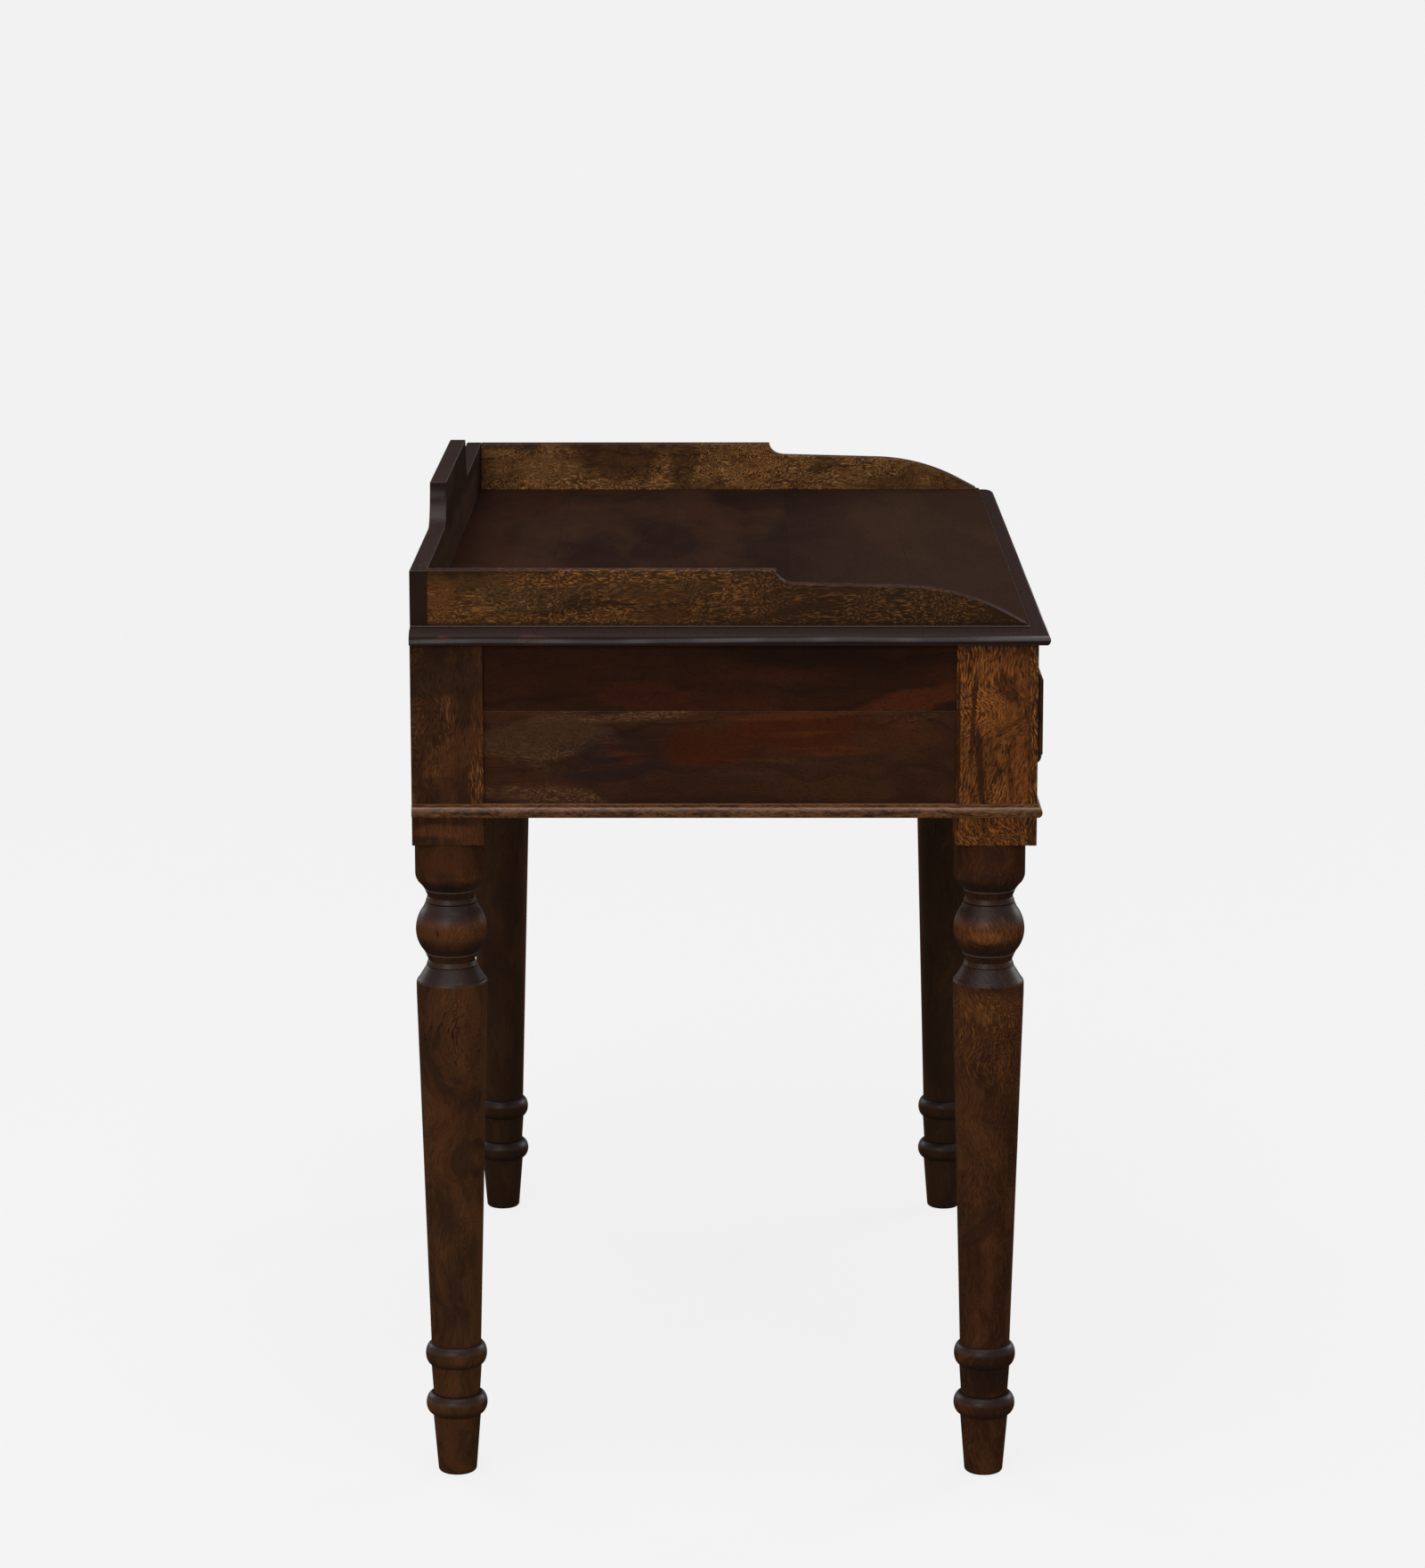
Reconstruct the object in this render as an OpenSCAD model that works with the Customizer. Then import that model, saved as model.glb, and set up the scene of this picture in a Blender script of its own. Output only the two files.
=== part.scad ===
// Writing table with turned legs, a low gallery round three sides of the top and two lipped drawers.
// Frame: +X to the right of someone sitting at it, -Y towards them, +Z up, millimetres.
// The origin is on the floor, under the middle of the whole object.

/* [Overall] */
// Length of the tabletop, end to end
top_l = 915; // [860:1:1000]
// Depth of the tabletop, front to back
top_d = 545; // [520:1:600]
// Height of the writing surface above the floor
top_h = 762; // [730:1:790]

/* [Tabletop] */
// Thickness of the tabletop
top_t = 15; // [14:0.5:20]
// How far the top stands past the front and the ends of the body
overhang = 9.5; // [8:0.5:14]
// Width of the moulded edge
edge_w = 16.5; // [14:0.5:20]
// Depth of the small step where the moulded edge starts
edge_step = 2; // [1:0.5:3]
// Width of the flat beside that step
edge_flat = 1.5; // [0.5:0.5:3]
// Height of the edge's nose above the underside
nose_h = 5; // [3:0.5:7]
// Depth of the rounding under the nose
nose_in = 3.5; // [2:0.5:5]

/* [Gallery] */
// Thickness of the gallery boards
gallery_t = 15; // [12:0.5:18]
// Height of the gallery at the ends and along the sides
low_h = 47.5; // [40:0.5:60]
// Height of the raised middle of the back board
high_h = 85.5; // [75:0.5:110]
// Distance from the end of the back board to its cove
rise_start = 253.5; // [200:0.5:300]
// Width of the cove that climbs to the raised middle
rise_w = 32; // [20:1:50]
// Length of the tall part of a side board, from the back edge of the top
side_tall_l = 312; // [280:1:330]
// Width of the cove on a side board
side_cove_w = 16; // [12:1:25]
// Drop of the cove on a side board
side_cove_h = 12; // [8:0.5:16]
// Slope of the low part of a side board, in degrees
fall_angle = 1.5; // [0:0.5:3]
// Radius of the sweep that brings a side board down
sweep_r = 190; // [120:5:220]
// Slope of a side board's end, in degrees
ramp_angle = 28; // [24:1:35]
// Distance from the front edge of the top to a side board's tip
tip_in = 20; // [20:1:60]
// Height of a side board's tip
tip_h = 1.5; // [1:0.5:4]

/* [Legs] */
// Width of the square posts
post_w = 62; // [58:0.5:70]
// Length of the square block under the body
block_drop = 24.5; // [16:0.5:32]
// How much smaller than the square the turning is, on the radius
turn_in = 0.2; // [0.1:0.1:1]
// Length of the straight part of the cup under the block
cup_l = 29; // [20:1:33]
// Radius of the rounding under the cup
cup_round = 13; // [10:0.5:14]
// Radius of the two necks at their narrowest
neck_r = 20.2; // [18.5:0.1:21.5]
// Height of a neck, from the groove above it to the groove below it
neck_h = 12; // [10:0.5:13]
// Height of the flared band at the bottom of a neck
band_h = 5.5; // [4:0.5:6]
// How far that band flares, on the radius
band_out = 1.8; // [1.4:0.1:2.2]
// Distance from the block down to the ball's middle
ball_drop = 79.5; // [77:0.5:84]
// Radius of the ball's curve, level with its middle
ball_curve = 29; // [27.5:0.5:31]
// Height of the ball's curve above its middle
ball_up = 31; // [29:0.5:33]
// Height of the ball's curve below its middle
ball_down = 28.5; // [27:0.5:31]
// Distance from the block down to the shoulder
shoulder_drop = 127; // [125:1:140]
// Radius of the rounding at the shoulder
shoulder_round = 6; // [4:0.5:8]
// Radius of the taper above the ankle rings
ankle_r = 21.9; // [20.5:0.1:23]
// Height of the upper ankle ring's middle
ring_high_z = 109; // [102:0.5:125]
// Height of the lower ankle ring's middle
ring_low_z = 63.5; // [56:0.5:76]
// Height of an ankle ring
ring_h = 20; // [14:0.5:22]
// Radius of an ankle ring
ring_out_r = 27; // [25:0.1:29]
// How much slimmer the leg is below each ankle ring, on the radius
ring_loss = 1.4; // [0.5:0.1:2]
// Radius of the foot at the floor
foot_r = 17; // [14:0.5:19]
// Rounding at the bottom of the foot
foot_round = 3.5; // [2:0.5:5]

/* [Body] */
// Height of the rails and panels
body_h = 150.5; // [140:0.5:170]
// Thickness of the facing on each front post
facing_t = 7.5; // [5:0.5:10]
// Thickness of the front rails and the divider
rail_t = 25; // [22:0.5:30]
// Height of the rail above the drawers
top_rail_h = 40.5; // [36:0.5:48]
// Height of the drawer openings
opening_h = 68; // [62:1:72]
// Width of the divider between the drawers
divider_w = 40; // [34:1:50]
// Thickness of the end and back boards
panel_t = 18; // [15:0.5:20]
// How far the boards sit behind the faces of the posts
panel_set = 3; // [2:0.5:5]
// Width of the lower board of each end
lower_board_h = 92.5; // [70:0.5:110]
// Height of the bead along the bottom of the body
bead_h = 12; // [10:0.5:14]
// How far the bead stands out
bead_out = 4.5; // [3.5:0.5:6]

/* [Joints in the frame] */
// Thickness of tenons and tongues
tenon_t = 8; // [6:0.5:9]
// Distance from a rail's back face to its tenon
tenon_back = 4.5; // [3:0.5:5]
// Shoulder above and below a tenon
shoulder = 5; // [3:0.5:8]
// Length of the rail tenons
tenon_l = 20; // [14:1:24]
// Length of the tongues on the end and back boards
tongue_l = 8; // [6:0.5:10]
// Length of the divider's tenons
stub_l = 10; // [8:1:14]
// Space left at the bottom of a mortise
glue_space = 0.5; // [0.3:0.1:1]

/* [Drawers] */
// How far a drawer front laps the frame
lip = 5; // [3:0.5:7]
// Thickness of the lip
lip_t = 8; // [6:0.5:9]
// Whole thickness of a drawer front
front_t = 21; // [19:0.5:24]
// Width of the rounding along a drawer front's edges
lip_edge_w = 6; // [4:0.5:7]
// Step where that rounding starts
lip_step = 1; // [0.5:0.1:1.5]
// Thickness of the lip's square edge behind the rounding
lip_land = 2; // [1:0.1:3]
// Space left behind a shut drawer
rear_gap = 49.5; // [20:0.5:120]
// Thickness of the drawer sides and back
side_t = 12; // [10:0.5:14]
// Thickness of the drawer bottom
bottom_t = 6; // [4:0.5:7]
// Height of the bottom's groove above the drawer's lower edge
bottom_up = 8; // [6:0.5:10]
// Depth of that groove
groove_d = 5; // [4:0.5:6]
// Length of the tails in a drawer front
tail_l = 9; // [7:0.5:11]
// How much wider a tail is at its tip than at its root, on each side
tail_flare = 1.6; // [1:0.1:2.2]

/* [Drawer slides] */
// Width of a runner or a kicker
runner_w = 18; // [15:0.5:24]
// Height of a runner
runner_h = 20; // [16:0.5:26]
// How far a guide stands above the runner
guide_up = 18; // [10:1:30]

/* [Ring pulls] */
// Radius of the round plate
plate_r = 18; // [14:0.5:22]
// Thickness of the plate at its edge
plate_t = 1.2; // [1:0.1:1.6]
// How far the plate's middle is domed
plate_dome = 1; // [0.6:0.1:1.4]
// Gap between the plate and the round of the eye
eye_lift = 0.3; // [0.2:0.1:0.6]
// Radius of the eye
eye_r = 3.5; // [3.2:0.1:4]
// Width of the eye
eye_w = 4; // [3.5:0.1:4.5]
// Radius of the ring, to the middle of its wire
ring_r = 12; // [11:0.5:15]
// Thickness of the ring's wire
wire_d = 3; // [2.6:0.1:3.2]
// Thickness of the eye's shank
shank_d = 4; // [3.5:0.1:5]
// Width of the nut across its flats
nut_w = 8; // [7:0.5:10]
// Thickness of the nut
nut_t = 3.2; // [2.5:0.1:4]
// Thickness of the washer
washer_t = 1; // [0.8:0.1:1.4]

/* [Screws] */
// Thickness of a wood screw
screw_d = 4; // [3.5:0.1:4.5]
// Width of a screw's head
head_d = 8; // [7:0.5:9]
// Height of a screw's head
head_t = 2.6; // [2.2:0.1:3]
// How deep a screw bites
bite = 10; // [8:0.5:12]

/* [Clearances] */
// Gap under and behind a shut drawer
run_gap = 0.3; // [0.2:0.05:0.6]
// Gap at each side of a drawer
side_gap = 1; // [0.6:0.1:1.5]
// Gap above a drawer
top_gap = 3.2; // [2:0.1:5]
// Gap round the ring's wire in its eye
wire_gap = 0.35; // [0.3:0.05:0.5]
// Gap round a screw or a shank in its hole
hole_gap = 0.05; // [0.02:0.01:0.2]

/* [Hidden] */
$fn = 64;

DARK = [0.16, 0.10, 0.08];
BROWN = [0.33, 0.20, 0.11];
GOLD = [0.47, 0.31, 0.15];
RED_BROWN = [0.28, 0.13, 0.08];
PALE = [0.62, 0.47, 0.30];
BRASS = [0.62, 0.48, 0.24];
STEEL = [0.55, 0.55, 0.56];

past = 1;              // how far a cutter runs past what it cuts
steps = 10;            // segments of a moulded quarter round
eye_out = plate_t + plate_dome + eye_lift + eye_r;   // from a drawer's face to the middle of the eye

// Places in plan
pull_out = eye_out + eye_r + lip_t + run_gap - overhang; // reach of a pull past the top
y_back = (top_d + pull_out) / 2;         // back edge of the top
y_top = y_back - top_d;                  // front edge of the top
y_body = y_top + overhang;               // front face of the body
y_post = y_body + facing_t;              // front faces of the front posts
x_top = top_l / 2;                       // ends of the top
x_body = x_top - overhang;               // ends of the body
x_inner = x_body - post_w;               // inner faces of the posts
x_gallery = x_top - edge_w;              // outer faces of the gallery
x_panel = x_body - panel_set;            // outer faces of the end boards
y_panel = y_back - panel_set;            // outer face of the back board
x_leg = x_body - post_w / 2;             // leg axes
y_leg_front = y_post + post_w / 2;
y_leg_back = y_back - post_w / 2;
y_rail = y_body + rail_t;                // back faces of the front rails
y_inside = y_panel - panel_t;            // inner face of the back board

// Heights
z_under = top_h - top_t;                 // underside of the top
z_body = z_under - body_h;               // bottom of the rails and boards
z_block = z_body - block_drop;           // bottom of the square blocks
z_open_top = z_under - top_rail_h;       // top of the drawer openings
z_open = z_open_top - opening_h;         // bottom of the drawer openings
z_drawer = z_open + run_gap;             // bottom of the drawers
z_pull = (z_open + z_open_top) / 2;      // height of the pulls

// Drawers
opening_w = x_inner - divider_w / 2;             // width of one opening
x_drawer = divider_w / 2 + opening_w / 2;        // middle of the right opening
box_w = opening_w - 2 * side_gap;                // width of a drawer's box
front_w = opening_w + 2 * lip;
front_h = opening_h + 2 * lip;
y_seat = y_body - run_gap;                       // back of a shut drawer's lip
y_face = y_seat - lip_t;                         // face of a shut drawer
y_box = y_face + front_t;                        // inner face of a drawer front
y_box_end = y_inside - rear_gap;                 // rear of a drawer
side_h = opening_h - run_gap - top_gap;          // height of the drawer sides
back_up = bottom_up + bottom_t;                  // the drawer's back stands on its bottom
tail_count = 2;
tail_share = 0.3;                                // half a tail's root, as a share of the tails' spacing

// Tenons
rail_tenon_y = y_rail - tenon_t - tenon_back;    // front cheek of the rail tenons
panel_cheek = (panel_t - tenon_t) / 2;           // cheek beside a tongue
post_slot = tongue_l + glue_space;

// Points on a quarter of an ellipse, from angle a0 to a1
function bend(c, rx, rz, a0, a1, n = steps) =
  [for (i = [0:n]) let(a = a0 + (a1 - a0) * i / n) [c[0] + rx * cos(a), c[1] + rz * sin(a)]];

// Extrudes an outline drawn in the YZ plane along X, from x0 over a length l
module along_x(x0, l) {
  translate([x0, 0, 0]) rotate([90, 0, 90]) linear_extrude(l) children();
}

// Extrudes an outline drawn in the XZ plane along Y, from y0 over a length l
module along_y(y0, l) {
  translate([0, y0 + l, 0]) rotate([90, 0, 0]) linear_extrude(l) children();
}

// A box between two corners
module block(a, b) {
  translate(a) cube([b[0] - a[0], b[1] - a[1], b[2] - a[2]]);
}

// Mirrors a piece drawn on the right to the side that s names: 1 is right, -1 is left
module on_side(s) {
  mirror([s < 0 ? 1 : 0, 0, 0]) children();
}

// Tabletop

// What a router takes off the edge: u runs inwards from the edge, z is a height
function edge_cut() = concat(
  [[-past, z_under - past], [-past, top_h + past], [edge_w, top_h + past], [edge_w, top_h - edge_step]],
  bend([edge_w - edge_flat, z_under + nose_h], edge_w - edge_flat, top_t - edge_step - nose_h, 90, 180),
  bend([nose_in, z_under + nose_h], nose_in, nose_h, 190, 270, 6),
  [[nose_in, z_under - past]]
);

module tabletop() {
  color(DARK) difference() {
    block([-x_top, y_top, z_under], [x_top, y_back, top_h]);
    along_x(-x_top - past, top_l + 2 * past) translate([y_top, 0]) polygon(edge_cut());
    for (s = [-1, 1]) {
      on_side(s) along_y(y_top - past, top_d + 2 * past)
        translate([x_top, 0]) mirror([1, 0]) polygon(edge_cut());
    }
    gallery_screw_places() screw_hole(gallery_screw_l);
    top_screw_places() screw_hole(top_screw_l);
  }
}

// Gallery

side_l = top_d - tip_in;                       // reach of a side board from the back edge
side_fall_l = side_tall_l + side_cove_w;       // where its low part starts
side_fall_h = low_h - side_cove_h;             // height of its low part there
fall = tan(fall_angle);
ramp = tan(ramp_angle);
meet_l = (tip_h + side_l * ramp - side_fall_h - side_fall_l * fall) / (ramp - fall);
meet_h = side_fall_h - (meet_l - side_fall_l) * fall;      // the low part and the ramp would meet here
sweep_back = sweep_r * tan((ramp_angle - fall_angle) / 2); // the sweep starts this far before
sweep_l = meet_l - sweep_back * cos(fall_angle);
sweep_h = meet_h + sweep_back * sin(fall_angle);

// The back board's outline: level ends, a cove up at each side and a level middle
function back_outline() = concat(
  [[-x_gallery, 0], [x_gallery, 0], [x_gallery, low_h]],
  bend([x_gallery - rise_start, high_h], rise_w, high_h - low_h, -90, -180),
  bend([rise_start - x_gallery, high_h], rise_w, high_h - low_h, 0, -90),
  [[-x_gallery, low_h]]
);

module gallery_back() {
  color(DARK) difference() {
    along_y(y_back - gallery_t, gallery_t) translate([0, top_h]) polygon(back_outline());
    gallery_screw_places() screw_hole(gallery_screw_l);
  }
}

// Outline of a side board: s runs forwards from the back edge of the top
function side_outline() = concat(
  [[gallery_t, 0], [gallery_t, low_h], [side_tall_l, low_h]],
  bend([side_fall_l, low_h], side_cove_w, side_cove_h, 180, 270),
  bend([sweep_l - sweep_r * sin(fall_angle), sweep_h - sweep_r * cos(fall_angle)],
    sweep_r, sweep_r, 90 - fall_angle, 90 - ramp_angle, 2 * steps),
  [[side_l, tip_h], [side_l, 0]]
);

module gallery_side(s) {
  color(GOLD) on_side(s) difference() {
    along_x(x_gallery - gallery_t, gallery_t)
      translate([y_back, top_h]) mirror([1, 0]) polygon(side_outline());
    gallery_screw_places() screw_hole(gallery_screw_l);
  }
}

// Legs

turn_r = post_w / 2 - turn_in;
z_cup = z_block - cup_l;
z_ball = z_block - ball_drop;
z_shoulder = z_block - shoulder_drop;
ball_in = turn_r - ball_curve;                // the ball's curve is struck from this radius
cup_end = 50;                                 // angle at which the cup's rounding ends
ball_end = 40;                                // angle at which the ball's curve ends, above and below
shoulder_end = 50;                            // angle at which the shoulder's rounding starts
crease = 0.6;                                 // depth of the fine grooves at both ends of a neck
neck_in = 2.6;                                // how far a neck narrows from its upper groove to its waist
ball_slope_high = 3.8;                        // height of the slope from the ball's curve up to a groove
ball_slope_low = 1.2;                         // height of the slope from the curve down to the next groove
z_neck_high = z_ball + ball_up * sin(ball_end) + ball_slope_high + neck_h;
z_neck_low = z_ball - ball_down * sin(ball_end) - ball_slope_low - 2 * crease;
shoulder_l = 8;                               // the leg is straight for this length under the shoulder
ankle_low_r = ankle_r - ring_loss;            // radius of the leg between the ankle rings

// A neck with its top at z: a fine groove, a slope in to the waist, a flared band and a fine groove
function neck(z) = let(waist = z - neck_h + band_h, out = neck_r + band_out) [
  [neck_r + neck_in + crease, z + 2 * crease],
  [neck_r + neck_in - crease, z + crease],
  [neck_r + neck_in, z],
  [neck_r + crease / 2, waist + 2 * crease],
  [neck_r, waist],
  [neck_r + crease, waist - crease],
  [out, z - neck_h + 2 * crease],
  [out - crease, z - neck_h + crease],
  [out + crease / 2, z - neck_h]
];

// An ankle ring round a leg of radius r
function ankle_ring(z, r) = bend([r, z], ring_out_r - r, ring_h / 2, 80, -80, 14);

// The turning from the block down to the floor: radius and height
function leg_profile() = concat(
  [[0, z_block + past], [turn_r, z_block + past]],
  bend([turn_r - cup_round, z_cup], cup_round, cup_round, 0, -cup_end, 6),
  neck(z_neck_high),
  bend([ball_in, z_ball], ball_curve, ball_up, ball_end, 0, 8),
  bend([ball_in, z_ball], ball_curve, ball_down, -ball_end / 8, -ball_end, 7),
  neck(z_neck_low),
  bend([turn_r - shoulder_round, z_shoulder], shoulder_round, shoulder_round, shoulder_end, 0, 6),
  [[turn_r, z_shoulder - shoulder_l], [ankle_r, ring_high_z + ring_h / 2]],
  ankle_ring(ring_high_z, ankle_r - ring_loss / 2),
  [[ankle_low_r, ring_low_z + ring_h / 2]],
  ankle_ring(ring_low_z, ankle_low_r - ring_loss / 2),
  bend([foot_r - foot_round, foot_round], foot_round, foot_round, 0, -90, 5),
  [[0, 0]]
);

// A post with its turning, its axis at the origin
module turned_post() {
  rotate_extrude() polygon(leg_profile());
  translate([-post_w / 2, -post_w / 2, z_block]) cube([post_w, post_w, z_under - z_block]);
}

// The slot in a post that takes a board's tongue, cut where the board's tongue is
module end_board_slot() {
  x0 = x_panel - panel_t + panel_cheek;
  y0 = y_leg_front + post_w / 2 - post_slot;
  y1 = y_leg_back - post_w / 2 + post_slot;
  block([x0, y0, z_body], [x0 + tenon_t, y1, z_under + past]);
}

module back_board_slot() {
  y0 = y_inside + panel_cheek;
  x1 = x_inner + post_slot;
  block([-x1, y0, z_body], [x1, y0 + tenon_t, z_under + past]);
}

// The mortise for a rail whose lower edge is at z and whose height is h
module rail_mortise(z, h) {
  x1 = x_inner + tenon_l + glue_space;
  block([-x1, rail_tenon_y, z + shoulder], [x1, rail_tenon_y + tenon_t, z + h - shoulder]);
}

module leg_front(s) {
  color(BROWN) on_side(s) difference() {
    translate([x_leg, y_leg_front, 0]) turned_post();
    end_board_slot();
    rail_mortise(z_body, z_open - z_body);
    rail_mortise(z_open_top, top_rail_h);
  }
}

module leg_back(s) {
  color(BROWN) on_side(s) difference() {
    translate([x_leg, y_leg_back, 0]) turned_post();
    end_board_slot();
    back_board_slot();
  }
}

// Body

module facing(s) {
  color(GOLD) on_side(s) block([x_inner, y_body, z_block], [x_body, y_post, z_under]);
}

// A front rail with its two tenons, and the mortise for the divider on the side that faces the drawers
module front_rail(z, h, mortise_z) {
  x1 = x_inner + tenon_l;
  color(BROWN) difference() {
    union() {
      block([-x_inner, y_body, z], [x_inner, y_rail, z + h]);
      block([-x1, rail_tenon_y, z + shoulder], [x1, rail_tenon_y + tenon_t, z + h - shoulder]);
    }
    divider_stub(mortise_z, stub_l + glue_space);
  }
}

// The divider's tenon, from z over a height h
module divider_stub(z, h) {
  w = divider_w / 2 - shoulder;
  block([-w, rail_tenon_y, z], [w, rail_tenon_y + tenon_t, z + h]);
}

module front_top_rail() {
  front_rail(z_open_top, top_rail_h, z_open_top);
}

module front_bottom_rail() {
  front_rail(z_body, z_open - z_body, z_open - stub_l - glue_space);
}

module drawer_divider() {
  color(BROWN) union() {
    block([-divider_w / 2, y_body, z_open], [divider_w / 2, y_rail, z_open_top]);
    divider_stub(z_open - stub_l, opening_h + 2 * stub_l);
  }
}

// An end board from z0 to z1, with a tongue at each end
module end_board(s, z0, z1) {
  y0 = y_leg_front + post_w / 2;
  y1 = y_leg_back - post_w / 2;
  x0 = x_panel - panel_t;
  color(RED_BROWN) on_side(s) union() {
    block([x0, y0, z0], [x_panel, y1, z1]);
    block([x0 + panel_cheek, y0 - tongue_l, z0], [x0 + panel_cheek + tenon_t, y1 + tongue_l, z1]);
  }
}

module end_upper_board(s) {
  end_board(s, z_body + lower_board_h, z_under);
}

module end_lower_board(s) {
  end_board(s, z_body, z_body + lower_board_h);
}

module back_panel() {
  x1 = x_inner + tongue_l;
  y0 = y_inside + panel_cheek;
  color(RED_BROWN) union() {
    block([-x_inner, y_inside, z_body], [x_inner, y_panel, z_under]);
    block([-x1, y0, z_body], [x1, y0 + tenon_t, z_under]);
  }
}

bead_r = 0.42 * bead_h;          // upright radius of the bead's round
bead_flat = bead_out / 3;        // how far the thin flat above the round stands out

// Outline of the bead: u is how far it stands out of the face, z is a height
// It reaches behind the face by the distance that back gives
function bead_outline(back) = concat(
  [[-back, z_body]],
  bend([0, z_body + bead_r], bead_out, bead_r, -80, acos(bead_flat / bead_out), 14),
  [[bead_flat, z_body + bead_h], [-back, z_body + bead_h]]
);

// The front bead, mitred at both ends
module bead_front() {
  color(BROWN) intersection() {
    along_x(-x_top, top_l) translate([y_body, 0]) mirror([1, 0]) polygon(bead_outline(0));
    translate([0, 0, z_body]) linear_extrude(bead_h) polygon([
      [-x_body, y_body], [x_body, y_body],
      [x_body + bead_out, y_body - bead_out], [-x_body - bead_out, y_body - bead_out]
    ]);
  }
}

// An end bead, mitred at the front and notched over the posts
module bead_end(s) {
  color(BROWN) on_side(s) difference() {
    intersection() {
      along_y(y_top, top_d) translate([x_body, 0]) polygon(bead_outline(panel_set));
      translate([0, 0, z_body]) linear_extrude(bead_h) polygon([
        [x_panel, y_body], [x_body, y_body], [x_body + bead_out, y_body - bead_out],
        [x_body + bead_out, y_back], [x_panel, y_back]
      ]);
    }
    for (y0 = [y_leg_front - post_w / 2 - facing_t, y_leg_back - post_w / 2]) {
      y1 = y0 + post_w + facing_t;
      block([x_panel - past, y0, z_body - past], [x_body, y1, z_body + bead_h + past]);
    }
  }
}

// Drawer slides

// A batten that fills the space between the drawer and the end boards and keeps the drawer straight
module guide(s) {
  y0 = y_leg_front + post_w / 2;
  y1 = y_leg_back - post_w / 2;
  color(PALE) on_side(s) difference() {
    block([x_inner, y0, z_open - runner_h], [x_panel - panel_t, y1, z_open + guide_up]);
    runner_screw_places() screw_hole(runner_screw_l);
  }
}

module guide_center() {
  color(PALE) difference() {
    block([-divider_w / 2, y_rail, z_open - runner_h], [divider_w / 2, y_inside, z_open + guide_up]);
    for (s = [-1, 1]) {
      on_side(s) runner_screw_places() screw_hole(runner_screw_l);
    }
  }
}

// A runner or kicker on the right: x0 is its edge nearer the middle, z0 to z1 its height
module slide_rail(x0, z0, z1) {
  block([x0, y_rail, z0], [x0 + runner_w, y_inside, z1]);
}

x_slide_outer = x_inner - runner_w;
x_slide_inner = divider_w / 2;

module runner(s, x0) {
  color(PALE) on_side(s) difference() {
    slide_rail(x0, z_open - runner_h, z_open);
    runner_screw_places() screw_hole(runner_screw_l);
  }
}

module kicker(s, x0) {
  color(PALE) on_side(s) difference() {
    slide_rail(x0, z_open_top, z_under);
    top_screw_places() {
      screw_hole(top_screw_l);
      mirror([0, 0, 1]) cylinder(d = head_d + 2 * driver_gap, h = top_rail_h);
    }
  }
}

// Screws

gallery_screw_l = top_t + 2 * bite;
top_screw_l = 2 * bite;
runner_screw_l = runner_w + bite;
screw_margin = 70;             // from the end of a piece to its first screw
driver_gap = 0.5;              // room round a sunk screw's head for the driver
side_screw_l = side_tall_l - 1.5 * screw_margin; // from a side board's first screw to its last

// A countersunk screw: its head's face is at the origin and it points along +Z
module screw(l) {
  cylinder(d1 = head_d, d2 = screw_d, h = head_t);
  cylinder(d = screw_d, h = l);
}

// The hole for such a screw
module screw_hole(l) {
  room = 2 * hole_gap;
  translate([0, 0, -hole_gap]) cylinder(d1 = head_d + room, d2 = screw_d + room, h = head_t);
  translate([0, 0, -hole_gap]) cylinder(d = screw_d + room, h = l + room);
}

// Up through the top into the gallery boards
module gallery_screw_places() {
  for (k = [-1, -1 / 3, 1 / 3, 1]) {
    translate([k * (x_gallery - screw_margin), y_back - gallery_t / 2, z_under]) children();
  }
  for (s = [-1, 1], k = [0, 0.5, 1]) {
    y = y_back - screw_margin - k * side_screw_l;
    translate([s * (x_gallery - gallery_t / 2), y, z_under]) children();
  }
}

// Up through the kickers into the top
module top_screw_places() {
  for (s = [-1, 1], x = [x_slide_outer, x_slide_inner], k = [0, 0.5, 1]) {
    y = y_rail + screw_margin + k * (y_inside - y_rail - 2 * screw_margin);
    translate([s * (x + runner_w / 2), y, z_under - top_screw_l + bite]) children();
  }
}

// Sideways through the right-hand runners, into the end guide and the middle one
module runner_screw_places() {
  run = y_leg_back - y_leg_front - post_w - 2 * screw_margin;
  for (k = [0, 0.5, 1]) {
    y = y_leg_front + post_w / 2 + screw_margin + k * run;
    translate([x_slide_outer, y, z_open - runner_h / 2]) rotate([0, 90, 0]) children();
    translate([x_slide_inner + runner_w, y, z_open - runner_h / 2]) rotate([0, -90, 0]) children();
  }
}

module gallery_screws() {
  color(STEEL) gallery_screw_places() screw(gallery_screw_l);
}

module top_screws() {
  color(STEEL) top_screw_places() screw(top_screw_l);
}

module runner_screws() {
  color(STEEL) for (s = [-1, 1]) {
    on_side(s) runner_screw_places() screw(runner_screw_l);
  }
}

// Drawers

// Tails in the YZ plane, growing along +Y from y = 0, spread over a height h
module tails(h, l) {
  pitch = h / tail_count;
  root = pitch * tail_share;
  for (i = [0:tail_count - 1]) {
    translate([0, (i + 0.5) * pitch]) polygon([
      [0, -root], [l, -root - tail_flare], [l, root + tail_flare], [0, root]
    ]);
  }
}

// Both ends' tails of a drawer side, in place
module front_tails() {
  translate([y_box, z_drawer]) mirror([1, 0]) tails(side_h, tail_l);
}

module rear_tails() {
  translate([y_box_end - side_t, z_drawer + back_up]) tails(side_h - back_up, side_t);
}

// The drawer's bottom, which is also the groove that it leaves in the front and the sides
module bottom_board() {
  half = box_w / 2 - side_t + groove_d;
  block([-half, y_box - groove_d, z_drawer + bottom_up], [half, y_box_end, z_drawer + back_up]);
}

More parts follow.
